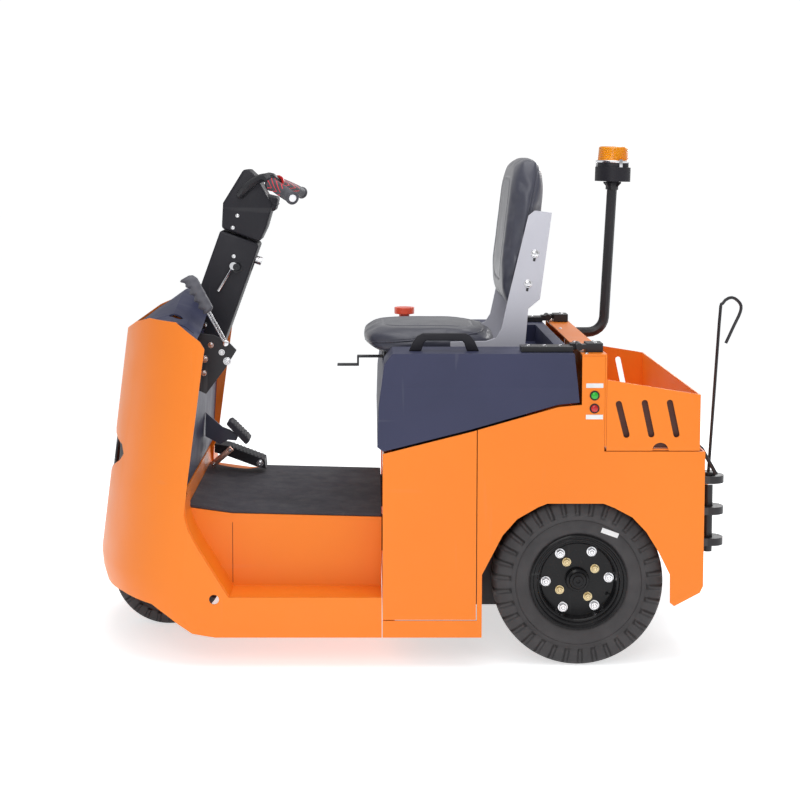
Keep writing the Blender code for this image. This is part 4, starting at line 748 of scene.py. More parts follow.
rearHub = {
    "lugNuts": 6,
    "lugCircle": 0.077,
    "lugRadius": 0.0098,
    "innerNuts": 4,
    "innerCircle": 0.050,
    "innerRadius": 0.0088,
    "sides": 96,
}
rimSection = [  # radius, distance outwards from the wheel's middle plane
    (0.0112, 0.0200), (0.0840, 0.0200), (0.0885, 0.0215), (0.0915, 0.0255), (0.0930, 0.0320),
    (0.0940, 0.0385), (0.0962, 0.0405), (0.0985, 0.0408), (0.1000, 0.0425), (0.1012, 0.0452),
    (0.1040, 0.0462), (0.1062, 0.0455), (0.1085, 0.0462), (0.1105, 0.0488), (0.1140, 0.0495),
    (0.1165, 0.0485), (0.1170, 0.0465), (0.1166, 0.0446), (0.1013, 0.0446), (0.1013, -0.0446),
    (0.1166, -0.0446), (0.1170, -0.0470), (0.1160, -0.0493), (0.1000, -0.0493), (0.0965, -0.0460),
    (0.0955, -0.0400), (0.0955, 0.0060), (0.0860, 0.0120), (0.0560, 0.0120), (0.0520, -0.0400),
    (0.0112, -0.0400),
]
bossSection = [
    (0.0, 0.0385), (0.0040, 0.0385), (0.0050, 0.0414), (0.0120, 0.0418), (0.0136, 0.0388),
    (0.0195, 0.0380), (0.0220, 0.0338), (0.0272, 0.0318), (0.0290, 0.0270), (0.0292, 0.0196),
    (0.0113, 0.0196), (0.0113, 0.0372), (0.0, 0.0372),
]


def makeRearFittings(side, sign):
    rim = "rear_rim_" + side
    low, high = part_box(rim)
    centre = (low + high) / 2
    out = Vector((sign, 0, 0))
    nuts, brass, boss, dish = bmesh.new(), bmesh.new(), bmesh.new(), bmesh.new()
    addTurned(dish, rimSection, centre, centre + out, rearHub["sides"], True)
    finishPiece(rim + "_dish", dish, rimPaint, "rear_wheel_" + side, 28.0, (rim,))

    def onDisc(circle, angle):
        return centre + Vector((sign * 0.0198, math.cos(angle) * circle, math.sin(angle) * circle))

    for i in range(rearHub["lugNuts"]):
        foot = onDisc(rearHub["lugCircle"], math.tau * i / rearHub["lugNuts"] + 0.06)
        addBolt(nuts, foot, out, rearHub["lugRadius"], 0.0085)
    for i in range(rearHub["innerNuts"]):
        foot = onDisc(rearHub["innerCircle"], math.tau * i / rearHub["innerNuts"] + 0.55)
        addBolt(brass, foot, out, rearHub["innerRadius"], 0.0075)
    addTurned(boss, bossSection, centre, centre + out, 48)
    valve = centre + Vector((sign * 0.020, 0.072, -0.036))
    addDrum(boss, valve, valve + out * 0.016, 0.0032, sides=12, width=0.0006)
    finishPiece("lug_nuts_" + side, nuts, brightMetal, "rear_wheel_" + side, 30.0)
    finishPiece("inner_nuts_" + side, brass, brassMetal, "rear_wheel_" + side, 30.0)
    finishPiece("hub_boss_" + side, boss, rimPaint, "rear_wheel_" + side, 30.0)
    plate = bmesh.new()
    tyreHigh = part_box("rear_tyre_" + side)[1] if sign > 0 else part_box("rear_tyre_" + side)[0]
    lift = tyreHigh.x - sign * 0.0022
    addBox(plate, (-0.0006, -0.0215, -0.0062), (0.0006, 0.0215, 0.0062), 0.0004, 1)
    turn = Matrix.Rotation(math.radians(-20), 4, "X")
    spot = Matrix.Translation((lift, centre.y + 0.074, centre.z + 0.122))
    bmesh.ops.transform(plate, matrix=spot @ turn, verts=plate.verts)
    finishPiece("tyre_plate_" + side, plate, plateWhite, "rear_wheel_" + side, 30.0)


def makeFrontFittings():
    low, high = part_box("front_rim")
    centre = (low + high) / 2
    nuts = bmesh.new()
    for sign in (1, -1):
        for i in range(5):
            angle = math.tau * i / 5
            start = centre + Vector((sign * 0.2, math.cos(angle) * 0.040, math.sin(angle) * 0.040))
            foot = placeOn("front_rim", start, (-sign, 0, 0))
            addBolt(nuts, foot, (sign, 0, 0), 0.006, 0.005)
    finishPiece("front_wheel_nuts", nuts, brightMetal, "front_wheel", 30.0)


makeRearFittings("left", 1)
makeRearFittings("right", -1)
makeFrontFittings()
print("wheel fittings made")

# seat

cushionLook = {
    "shrink": 0.006,
    "voxel": 0.005,
    "rounding": 14,
    "settling": 6,
    "pressure": 4.0,
    "mostMove": 0.012,
    "seamDepth": 0.0026,
    "seamWidth": 0.0040,
    "piping": 0.0026,
}


def padMesh(name, shape, look, growth):
    mesh = bpy.data.meshes.new(name)
    shape.to_mesh(mesh)
    shape.free()
    pad = bpy.data.objects.new(name, mesh)
    bpy.context.scene.collection.objects.link(pad)
    remesh = pad.modifiers.new("remesh", "REMESH")
    remesh.mode = "VOXEL"
    remesh.voxel_size = look["voxel"]
    applyModifiers(pad)
    smoothMesh(pad, look["rounding"])
    swell(pad, look, growth)
    return pad


def smoothMesh(pad, times):
    shape = bmesh.new()
    shape.from_mesh(pad.data)
    for _ in range(times):
        bmesh.ops.smooth_vert(
            shape, verts=shape.verts, factor=0.5, use_axis_x=True, use_axis_y=True, use_axis_z=True
        )
    shape.to_mesh(pad.data)
    shape.free()


def applyModifiers(piece):
    graph = bpy.context.evaluated_depsgraph_get()
    done = bpy.data.meshes.new_from_object(piece.evaluated_get(graph), depsgraph=graph)
    old = piece.data
    piece.modifiers.clear()
    piece.data = done
    bpy.data.meshes.remove(old)


def swell(pad, look, growth):  # blows the cover up from inside, and stops each point at a limit
    start = [v.co.copy() for v in pad.data.vertices]
    cloth = pad.modifiers.new("cloth", "CLOTH")
    values = cloth.settings
    values.use_pressure = True
    values.uniform_pressure_force = look["pressure"]
    values.effector_weights.gravity = 0.0
    values.quality = 5
    values.mass = 0.3
    values.tension_stiffness = 15.0
    values.compression_stiffness = 15.0
    values.bending_stiffness = 0.5
    cloth.collision_settings.use_self_collision = False
    cloth.point_cache.frame_start = 1
    cloth.point_cache.frame_end = 20
    for frameNumber in range(1, 21):
        bpy.context.scene.frame_set(frameNumber)
    applyModifiers(pad)
    bpy.context.scene.frame_set(1)
    for vert, was in zip(pad.data.vertices, start):
        move = (vert.co - was) * growth
        if move.length > look["mostMove"]:
            move = move.normalized() * look["mostMove"]
        vert.co = was + move
    smoothMesh(pad, look["settling"])


def fitInside(pad, low, high):  # scales the pad to the room it has
    verts = pad.data.vertices
    now = [Vector([edge(v.co[i] for v in verts) for i in range(3)]) for edge in (min, max)]
    for vert in verts:
        vert.co = Vector([
            low[i] + (vert.co[i] - now[0][i]) * (high[i] - low[i]) / (now[1][i] - now[0][i]) for i in range(3)
        ])


def pressSeams(pad, gaps, look):  # gaps(point) gives the distance to the nearest seam
    normals = [v.normal.copy() for v in pad.data.vertices]
    for vert, normal in zip(pad.data.vertices, normals):
        share = math.exp(-((gaps(vert.co) / look["seamWidth"]) ** 2))
        vert.co -= normal * look["seamDepth"] * share


def subdivideOnce(pad):
    modifier = pad.modifiers.new("subdivision", "SUBSURF")
    modifier.levels = 1
    modifier.render_levels = 1
    applyModifiers(pad)


def finishPad(pad, node):
    for polygon in pad.data.polygons:
        polygon.use_smooth = True
    pad.data.materials.clear()
    pad.data.materials.append(seatVinyl)
    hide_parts(node)
    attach(pad, bodyOf[node])


def loopOn(pad, ring, count=96):  # points where lines from a ring to its centre meet the pad
    tree, path = treeOf(pad.data), []
    for i in range(count):
        start, aim = ring(math.tau * i / count)
        found = tree.ray_cast(start, (aim - start).normalized())[0]
        if found is not None:
            path.append(found)
    return path


def addClosedTube(shape, path, radius, sides=8):
    count = len(path)
    last = (path[1] - path[-1]).normalized()
    turn, places = last.to_track_quat("Z", "Y"), []
    for i, point in enumerate(path):
        ahead = (path[(i + 1) % count] - path[i - 1]).normalized()
        turn = last.rotation_difference(ahead) @ turn
        last = ahead
        places.append(Matrix.Translation(point) @ turn.to_matrix().to_4x4())
    made = sweep(shape, sides, radius, places + places[:1])
    bmesh.ops.remove_doubles(shape, verts=made, dist=0.00002)
    outward(shape)


def roundedPlan(point, centre, size, corner):  # distance from a rounded rectangle's line
    away = Vector([abs(point[i] - centre[i]) - size[i] + corner for i in range(2)])
    outside = Vector((max(away.x, 0), max(away.y, 0))).length
    return outside + min(max(away.x, away.y), 0.0) - corner


def makeCushion():
    low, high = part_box("seat_cushion")
    centre = (low + high) / 2
    size = high - low
    shape = bmesh.new()
    bmesh.ops.create_grid(shape, x_segments=20, y_segments=20, size=0.5)
    walls = bmesh.ops.extrude_face_region(shape, geom=list(shape.faces))["geom"]
    bmesh.ops.translate(shape, vec=(0, 0, 1), verts=[g for g in walls if isinstance(g, bmesh.types.BMVert)])
    bmesh.ops.recalc_face_normals(shape, faces=shape.faces)
    for vert in shape.verts:
        x, y, z = vert.co.x * 2, vert.co.y * 2, vert.co.z
        squeeze = 1.0 - 0.16 * (x * x * y * y)  # rounded corners in plan
        front = max(0.0, -y)
        back = max(0.0, y)
        top = 0.90 + 0.10 * (1 - x * x) * (1 - 0.5 * y * y) - 0.30 * back**3 - 0.06 * front**6
        under = 0.02 + 0.30 * front**8 + 0.06 * back**4
        height = top if z > 0.5 else under
        vert.co = centre + Vector((
            x * squeeze * (size.x / 2 - cushionLook["shrink"]) * (1.0 - 0.05 * front**2),
            y * squeeze * (size.y / 2 - cushionLook["shrink"]),
            (height - 0.5) * (size.z - cushionLook["shrink"]),
        ))
    pad = padMesh("seat_cushion_pad", shape, cushionLook, 1.0)
    fitInside(pad, low + Vector((0.001, 0.001, 0.0008)), high - Vector((0.001, 0.001, 0.0)))
    subdivideOnce(pad)
    seamZ = low.z + 0.62 * size.z

    def gaps(point):
        nearSide = abs(roundedPlan(point, centre, size.xy / 2, 0.06)) < 0.030
        ring = abs(point.z - seamZ - 0.10 * (point.y - centre.y)) if nearSide else 1.0
        if point.z > centre.z:
            ring = min(ring, abs(roundedPlan(point, centre, (size.x * 0.30, size.y * 0.34), 0.05)))
        return ring

    pressSeams(pad, gaps, cushionLook)
    finishPad(pad, "seat_cushion")

    def ring(angle):
        far = centre + Vector((math.cos(angle) * 0.4, math.sin(angle) * 0.4, 0.0))
        rise = seamZ + 0.10 * math.sin(angle) * size.y / 2
        return Vector((far.x, far.y, rise)), Vector((centre.x, centre.y, rise))

    shape = bmesh.new()
    addClosedTube(shape, loopOn(pad, ring), cushionLook["piping"])
    finishPiece("seat_cushion_piping", shape, seatVinyl, "seat_hood", 60.0)


def makeBackrest():
    low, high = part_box("backrest")
    centre = (low + high) / 2
    shape = bmesh.new()
    shape.from_mesh(nodes["backrest"].data)
    bmesh.ops.remove_doubles(shape, verts=shape.verts, dist=0.00002)
    bmesh.ops.translate(shape, vec=-centre, verts=shape.verts)
    size = high - low
    factor = Vector([1 - 2 * cushionLook["shrink"] / size[i] for i in range(3)])
    bmesh.ops.scale(shape, vec=factor, verts=shape.verts)
    bmesh.ops.translate(shape, vec=centre, verts=shape.verts)
    pad = padMesh("backrest_pad", shape, cushionLook, 1.0)
    for vert in pad.data.vertices:  # rounds the upper corners and pulls the sides in lower down
        share = (vert.co.z - centre.z) / (size.z / 2)
        side = (vert.co.x - centre.x) / (size.x / 2)
        vert.co.x -= (vert.co.x - centre.x) * (0.20 * max(0.0, share) ** 4 + 0.08 * max(0.0, -share) ** 3)
        vert.co.z -= 0.05 * size.z * max(0.0, share) * abs(side) ** 3
    fitInside(pad, low + Vector((0.001, 0.001, 0.001)), high - Vector((0.001, 0.001, 0.0)))
    subdivideOnce(pad)
    lean = math.radians(12)
    along = Vector((0.0, math.sin(lean), math.cos(lean)))
    through = Vector((0.0, math.cos(lean), -math.sin(lean)))

    def parts(point):
        offset = point - centre
        return offset.x, offset.dot(along), offset.dot(through)

    def gaps(point):
        x, up, deep = parts(point)
        nearSide = abs(roundedPlan((x, up), (0, 0), (size.x / 2, size.z / 2), 0.07)) < 0.035
        ring = abs(deep - 0.004) if nearSide else 1.0
        if deep < 0.0:
            ring = min(ring, abs(roundedPlan((x, up), (0, 0), (size.x * 0.30, size.z * 0.34), 0.05)))
        return ring

    pressSeams(pad, gaps, cushionLook)
    finishPad(pad, "backrest")

    def ring(angle):
        flat = Vector((math.cos(angle), 0, 0)) + along * math.sin(angle)
        middle = centre + through * 0.004
        return middle + flat * 0.5, middle

    shape = bmesh.new()
    addClosedTube(shape, loopOn(pad, ring, 120), cushionLook["piping"])
    finishPiece("backrest_piping", shape, seatVinyl, "seat_hood", 60.0)


makeCushion()
print("cushion made")
makeBackrest()
print("backrest made")

# steering column and handlebar

shieldY = -0.5845  # the leg shield's rear face
columnScrews = {  # (y, z) on each side
    "column_cover": ((-0.490, 0.978), (-0.565, 0.800)),
    "column_head": ((-0.480, 1.083), (-0.492, 1.052)),
}
leverPivot = (-0.4825, 0.9509)

columnLook = {"screw": 0.0040, "recess": 0.0150}


def addScrew(shape, node, origin, direction, radius, kind="socket"):
    foot = placeOn(node, origin, direction)
    line = -Vector(direction).normalized()
    addBolt(shape, foot - line * 0.0003, line, radius, radius * 0.55, kind)
    return foot


def makeColumnFittings():
    places = (("column_screws", "column_cover", "chassis"), ("head_screws", "column_head", "handlebar"))
    for name, node, body in places:
        screws = bmesh.new()
        for y, z in columnScrews[node]:
            for sign in (1, -1):
                addScrew(screws, node, (sign * 0.3, y, z), (-sign, 0, 0), columnLook["screw"])
        finishPiece(name, screws, brightMetal, body, 30.0)
    recess = bmesh.new()
    for sign in (1, -1):
        foot = placeOn("column_cover", (sign * 0.3, *leverPivot), (-sign, 0, 0))
        rim = [(0.0, 0.0004), (0.72, 0.0004), (0.84, 0.0012), (1.0, 0.0012), (1.06, -0.0006), (0.0, -0.0006)]
        outline = [(r * columnLook["recess"], z) for r, z in rim]
        addTurned(recess, outline, foot, foot + Vector((sign, 0, 0)), 40)
        if sign > 0:
            foot = placeOn("column_lever", (0.3, *leverPivot), (-1, 0, 0))
            rim = [
                (0.0, 0.0004), (0.0030, 0.0004), (0.0038, 0.0012), (0.0088, 0.0012), (0.0094, 0.0),
                (0.0, -0.0006),
            ]
            addTurned(recess, rim, foot, foot + Vector((1, 0, 0)), 32)
    finishPiece("lever_recess", recess, blackSteel, "chassis", 30.0)
    housing = bmesh.new()
    low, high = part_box("key_switch")
    middle = (low + high) / 2
    place = Matrix.Translation((middle.x, low.y - 0.0060, middle.z - 0.0040))
    place = place @ Matrix.Rotation(math.radians(-20), 4, "X")
    addBox(housing, (-0.0170, -0.0100, -0.0230), (0.0170, 0.0085, 0.0190), 0.0045, 3, place)
    finishPiece("key_housing", housing, blackPlastic, "chassis", 30.0)


gripLook = {"rings": 16, "sides": 40, "steps": 36}


def makeGrip(side, sign):
    node = "grip_" + side
    start, end, radius = gripLine([v.co.copy() for v in nodes[node].data.vertices], sign)
    shape = bmesh.new()
    length = (end - start).length
    outline = [(0.0, 0.0), (radius * 0.86, 0.0), (radius, 0.0015), (radius, 0.0055), (radius * 0.84, 0.0070)]
    steps = gripLook["steps"]
    for i in range(steps + 1):
        t = i / steps
        swell = 0.88 + 0.06 * math.sin(math.pi * t) + 0.008 * math.cos(t * math.tau * gripLook["rings"])
        outline.append((radius * swell, 0.009 + t * (length - 0.018)))
    outline += [
        (radius * 0.96, length - 0.0075), (radius, length - 0.0060), (radius, length - 0.0012),
        (radius * 0.93, length), (0.0, length),
    ]
    addTurned(shape, outline, start, end, gripLook["sides"])
    layer = shape.loops.layers.uv.new("UVMap")
    aim = alongAxis(start, end).inverted()
    for face in shape.faces:
        around = []
        for loop in face.loops:
            spot = aim @ loop.vert.co
            around.append(math.atan2(spot.y, spot.x) / math.tau + 0.5)
            loop[layer].uv = (around[-1], spot.z / length)
        if max(around) - min(around) > 0.5:
            for loop, u in zip(face.loops, around):
                loop[layer].uv.x = u + 1.0 if u < 0.5 else u
    finishPiece(node + "_ribbed", shape, gripRubber, "handlebar", 50.0, (node,))
    cap = bmesh.new()
    line = (end - start).normalized()
    inner = [
        (0.0, 0.0006), (0.55, 0.0006), (0.60, 0.0), (0.72, 0.0), (0.76, -0.0004), (0.76, -0.0030),
        (0.0, -0.0030),
    ]
    addTurned(cap, [(r * radius, -z) for r, z in inner], end - line * 0.0004, end - line * 1.0004, 32)
    finishPiece(node + "_cap", cap, brightMetal, "handlebar", 30.0)
    ring = bmesh.new()
    band = [(0.80, 0.0), (1.10, 0.0), (1.16, 0.0010), (1.16, 0.0036), (1.10, 0.0046), (0.80, 0.0046)]
    addTurned(ring, [(r * radius * 0.98, z) for r, z in band], start - line * 0.0046, end, 32, True)
    return ring


def gripLine(points, sign):  # the two ends of a straight CAD cylinder and its radius
    lowX = min(sign * p.x for p in points)
    highX = max(sign * p.x for p in points)
    middle = (lowX + highX) / 2
    ends = []
    for near in (True, False):
        half = [p for p in points if (sign * p.x < middle) == near]
        unique = {tuple(round(c, 5) for c in p) for p in half}
        ends.append(sum((Vector(p) for p in unique), Vector()) / len(unique))
    line = (ends[1] - ends[0]).normalized()
    radius = max(((p - ends[0]) - (p - ends[0]).dot(line) * line).length for p in points)
    spans = [(p - ends[0]).dot(line) for p in points]
    return ends[0] + line * min(spans), ends[0] + line * max(spans), radius


def makeHandlebar():
    for side, sign in (("left", 1), ("right", -1)):
        material = blackPlastic if side == "left" else buttonRed
        finishPiece("grip_collar_" + side, makeGrip(side, sign), material, "handlebar", 30.0)


def makeBarCollar():  # the boxy clamp that holds the two arms behind the head
    shape = bmesh.new()
    place = Matrix.Translation((0, -0.4080, 1.1180)) @ Matrix.Rotation(math.radians(-14), 4, "X")
    addBox(shape, (-0.047, -0.030, -0.019), (0.047, 0.030, 0.019), 0.0075, 3, place)
    addBox(shape, (-0.0475, -0.0315, -0.0025), (0.0475, 0.0315, 0.0010), 0.0006, 1, place)
    finishPiece("bar_clamp", shape, blackPlastic, "handlebar", 30.0)


makeColumnFittings()
makeHandlebar()
makeBarCollar()
print("handlebar made")

# parking brake

brakeLook = {"gripRadius": 0.0185, "grooves": 5, "stem": 0.0042, "gap": 0.0065}


def makeBrakeLever():
    low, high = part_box("parking_brake_lever")
    x = (low.x + high.x) / 2
    lean = math.atan2(0.050, 0.090)
    line = Vector((0, -math.sin(lean), math.cos(lean)))
    top = Vector((x, shieldY - 0.002, 0.942))
    root = Vector((x, shieldY + 0.048, 0.852))
    foot = Vector((x, shieldY + 0.090, 0.776))
    length = (top - root).length
    shape = bmesh.new()
    steps = 60
    radius = brakeLook["gripRadius"]
    turn = alongAxis(root, top).to_3x3().to_4x4()
    front = Vector((0, -math.cos(lean), -math.sin(lean)))
    places = []
    for i in range(steps + 1):
        t = i / steps
        ends = min(1.0, 8 * t + 0.55) * min(1.0, 10 * (1 - t) + 0.62)
        size = radius * (0.90 + 0.10 * t) * ends
        dent = 0.20 * radius * (1 - math.cos(t * math.tau * brakeLook["grooves"])) * min(1, 6 * (1 - t))
        hook = 0.45 * radius * max(0.0, t - 0.84) / 0.16
        centre = root + line * (length * t) + front * (hook - dent * 0.5)
        shares = Matrix.Diagonal((size * 0.86, size - dent * 0.45, 1, 1))
        places.append(Matrix.Translation(centre) @ turn @ shares)
    closeEnds(shape, sweep(shape, 20, 1.0, places))
    finishPiece("brake_grip", shape, brakeGrip, "chassis", 40.0, ("parking_brake_lever",))
    rods = bmesh.new()
    side = front * brakeLook["gap"] / 2
    for shift in (side, -side):
        path = [foot + shift, (foot + root) / 2 + shift, root + shift + line * 0.01]
        addTube(rods, path, brakeLook["stem"] * 0.62, 12)
    addDrum(rods, foot + Vector((-0.006, 0, 0)), foot + Vector((0.006, 0, 0)), 0.0075, sides=24, width=0.0008)
    finishPiece("brake_rods", rods, brightMetal, "chassis", 35.0)


def makeBrakeBolts():
    bolts = bmesh.new()
    for y, z, radius in ((-0.560, 0.800, 0.0066), (-0.532, 0.770, 0.0058), (-0.548, 0.735, 0.0070),
                         (-0.505, 0.752, 0.0062), (-0.492, 0.730, 0.0078), (-0.550, 0.700, 0.0058)):
        try:
            addScrew(bolts, "parking_brake_bracket", (0.4, y, z), (-1, 0, 0), radius, "hex")
        except ValueError:
            print("no bracket at", y, z)
    finishPiece("brake_bolts", bolts, brightMetal, "chassis", 30.0)


makeBrakeLever()
makeBrakeBolts()
print("parking brake made")

# pedals

pedalLook = {"rib": 0.0024, "rise": 0.0022}


def sideFaceFrame(node):  # the largest flat face that looks up: its centre, length line and normal
    shape = mergedCopy(node)
    bmesh.ops.dissolve_limit(
        shape, angle_limit=math.radians(0.5), use_dissolve_boundaries=False,
        verts=shape.verts, edges=shape.edges, delimit=set(),
    )
    best = max((f for f in shape.faces if f.normal.z > 0.25), key=lambda f: f.calc_area())
    centre, normal = best.calc_center_median(), best.normal.copy()
    along = Vector((0, normal.z, -normal.y)).normalized()
    spans = [(v.co - centre).dot(along) for v in best.verts]
    widths = [v.co.x - centre.x for v in best.verts]
    shape.free()
    return centre, normal, along, (min(spans), max(spans)), (min(widths), max(widths))


def makePedalRibs(node, name, count, material, body):
    centre, normal, along, span, width = sideFaceFrame(node)
    shape = bmesh.new()
    turn = Matrix((Vector((1, 0, 0)), along, normal)).transposed()
    pitch = (span[1] - span[0]) / (count + 1)
    for i in range(count):
        middle = centre + along * (span[0] + pitch * (i + 1)) + normal * (pedalLook["rise"] / 2 - 0.0003)
        half = Vector(((width[1] - width[0]) / 2 - 0.005, pedalLook["rib"], pedalLook["rise"] / 2 + 0.0003))
        addBox(shape, -half, half, 0.0008, 2, Matrix.Translation(middle) @ turn.to_4x4())
    finishPiece(name, shape, material, body, 30.0)
    return centre, normal, along, span, width


makePedalRibs("brake_pedal_pad", "brake_pedal_ribs", 6, pedalRubber, "chassis")
makePedalRibs("accelerator_pedal", "accelerator_ribs", 9, pedalRubber, "chassis")


def makeAcceleratorLink():
    shape = bmesh.new()
    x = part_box("accelerator_pedal")[1].x + 0.004
    start, end = Vector((x, shieldY + 0.060, 0.430)), Vector((x, shieldY + 0.016, 0.392))
    high = (0.0028, 0.0085, (end - start).length + 0.008)
    addBox(shape, (-0.0028, -0.0085, -0.008), high, 0.0024, 2, alongAxis(start, end))
    finishPiece("accelerator_link", shape, linkCopper, "chassis", 30.0)
    pins = bmesh.new()
    addBolt(pins, start + Vector((0.0015, 0, 0)), (1, 0, 0), 0.0055, 0.004, "socket")
    addBolt(pins, end + Vector((0.0015, 0, 0)), (1, 0, 0), 0.0045, 0.004, "socket")
    pivot = placeOn("accelerator_pedal", (0.0, shieldY + 0.143, 0.392), (-1, 0, 0))
    addBolt(pins, pivot, (1, 0, 0), 0.0075, 0.005, "socket")
    finishPiece("accelerator_pins", pins, brightMetal, "chassis", 30.0)


makeAcceleratorLink()
print("pedals made")

# buttons and plates on the rear body

buttonLook = {"radius": 0.0088, "bezel": 0.0118, "bezelRise": 0.0022, "face": 0.4058}


def makeButtons():
    low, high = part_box("inching_buttons")
    y = (low.y + high.y) / 2
    face = placeOn("rear_body", (0.5, y, 0.652), (-1, 0, 0)).x
    bezels = bmesh.new()
    for name, z, material in (("forward_button", 0.668, buttonGreen), ("reverse_button", 0.637, buttonRed)):
        foot = Vector((face, y, z))
        wide, rise = buttonLook["bezel"], buttonLook["bezelRise"]
        outline = [(0, rise * 0.6), (0.80, rise), (0.93, rise), (1, rise * 0.4), (1, -0.001), (0, -0.001)]
        addTurned(bezels, [(a * wide, b) for a, b in outline], foot, foot + Vector((1, 0, 0)), 40)
        shape = bmesh.new()
        r, tall = buttonLook["radius"], buttonLook["face"] - face
        outline = [(0.0, 1.0), (0.45, 0.97), (0.80, 0.82), (0.97, 0.50), (1.0, 0.1), (0.0, 0.1)]
        addTurned(shape, [(a * r, b * tall) for a, b in outline], foot, foot + Vector((1, 0, 0)), 32)
        finishPiece(name, shape, material, "chassis", 40.0)
    finishPiece("button_bezels", bezels, blackPlastic, "chassis", 40.0, ("inching_buttons",))
    shape = bmesh.new()
    for z in (0.692, 0.6165):
        foot = placeOn("rear_body", (0.5, y, z), (-1, 0, 0))
        place = Matrix.Translation((foot.x, y, z))
        addBox(shape, (-0.0004, -0.0205, -0.0055), (0.0008, 0.0205, 0.0055), 0.0004, 1, place)
    finishPiece("button_plates", shape, plateWhite, "chassis", 30.0)


makeButtons()
print("buttons made")

# hood handle and the painted shade inside the tray

handleSide = [  # (y, z) round the handle's flat side
    (-0.0437, 0.7675), (-0.0335, 0.7900), (-0.0235, 0.8030), (-0.0110, 0.8100), (0.0930, 0.8100),
    (0.1055, 0.8030), (0.1155, 0.7900), (0.1257, 0.7675), (0.0960, 0.7675), (0.0900, 0.7860),
    (0.0840, 0.7925), (-0.0020, 0.7925), (-0.0080, 0.7860), (-0.0140, 0.7675),
]


def makeHoodHandle():
    low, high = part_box("hood_handle")
    shape = bmesh.new()
    side = shape.faces.new([shape.verts.new((low.x, y, z)) for y, z in handleSide])
    made = bmesh.ops.extrude_face_region(shape, geom=[side])["geom"]
    far = [g for g in made if isinstance(g, bmesh.types.BMVert)]
    bmesh.ops.translate(shape, vec=(high.x - low.x, 0, 0), verts=far)
    outward(shape)
    softenEdges(shape, sharpEdges(shape, 40), 0.0022, 3)
    finishPiece("hood_handle_bar", shape, blackPlastic, "seat_hood", 32.0, ("hood_handle",))


def makeTrayShade():  # a dark brown sheet against the tray's near wall, behind its slots: painted shade of the tray's inside
    shape = bmesh.new()
    addBox(shape, (0.3855, 0.4330, 0.5400), (0.3885, 0.6420, 0.6650), 0.0008, 1)
    finishPiece("tray_painted_shade", shape, trayShadeBrown, "chassis", 30.0)


seamLook = {"along": -0.4774, "top": 0.335, "foot": 0.185, "radius": 0.0009}

def makeFootwellSeam():  # where the two side plates of the footwell meet
    points = []
    for i in range(10):
        spot = (0.6, seamLook["along"], seamLook["top"] - i * (seamLook["top"] - seamLook["foot"]) / 9)
        points.append(placeOn("footwell_tub", spot, (-1, 0, 0)))
    shape = bmesh.new()
    addTube(shape, points, seamLook["radius"], 8)
    finishPiece("footwell_seam", shape, seamShade, "chassis", 40.0)


makeHoodHandle()
makeTrayShade()
makeFootwellSeam()
print("handle and tray shade made")

# beacon

beaconLook = {"bands": 7, "facets": 24}


def makeBeacon():
    low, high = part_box("beacon_lens")
    centreLow = Vector(((low.x + high.x) / 2, (low.y + high.y) / 2, low.z))
    lean = Vector((0, 0.0262, 1.0)).normalized()
    tall = high.z - low.z
    middle = Vector((centreLow.x, centreLow.y - lean.y * tall / 2, low.z + 0.0010))
    radius = 0.0428
    shape = bmesh.new()
    outline = [(0.0, 0.0), (radius * 0.97, 0.0)]
    bands = beaconLook["bands"]
    for i in range(bands):
        for share, lift in ((0.08, 0.0), (0.30, 0.022), (0.70, 0.022), (0.92, 0.0)):
            t = (i + share) / bands
            outline.append((radius * (1.0 - 0.055 * t) * (0.972 + lift), 0.0015 + t * (tall - 0.007)))
    outline += [(radius * 0.86, tall - 0.0035), (radius * 0.74, tall - 0.0025), (0.0, tall - 0.0025)]
    addTurned(shape, outline, middle, middle + lean, beaconLook["facets"] * 2)
    finishPiece("beacon_lens_banded", shape, amberLens, "chassis", 20.0, ("beacon_lens",))
    ring = bmesh.new()
    band = [(0.90, -0.0030), (1.05, -0.0030), (1.07, -0.0015), (1.07, 0.0020), (1.04, 0.0032), (0.90, 0.0032)]
    addTurned(ring, [(r * radius, z) for r, z in band], middle, middle + lean, 64, True)
    for i in range(3):
        angle = math.tau * i / 3 + 0.35
        side = Vector((math.cos(angle), math.sin(angle), 0))
        spot = middle + side * radius * 1.045
        turn = Matrix.Rotation(angle, 4, "Z")
        place = Matrix.Translation(spot) @ turn
        addBox(ring, (-0.0015, -0.005, -0.018), (0.0022, 0.005, 0.0060), 0.0010, 2, place)
    finishPiece("beacon_ring", ring, brightMetal, "chassis", 30.0)
    collar = bmesh.new()
    baseLow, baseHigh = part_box("beacon_base")
    foot = Vector((middle.x, baseLow.y * 0.5 + baseHigh.y * 0.5 - 0.001, baseLow.z))
    for i in range(4):
        angle = math.tau * i / 4 + math.pi / 4
        fresh = addBox(collar, (0.012, -0.0015, -0.020), (0.030, 0.0015, 0.0), 0.0006, 1)
        for vert in fresh:
            if vert.co.z < -0.012 and vert.co.x > 0.02:
                vert.co.z += 0.016
        place = Matrix.Translation(foot) @ Matrix.Rotation(angle, 4, "Z")
        bmesh.ops.transform(collar, matrix=place, verts=fresh)
    under, over = foot + Vector((0, -0.001, -0.022)), foot + Vector((0, 0, 0.0002))
    addDrum(collar, under, over, 0.0175, sides=32, width=0.001)
    finishPiece("beacon_gussets", collar, blackSteel, "chassis", 30.0)


makeBeacon()
print("beacon made")
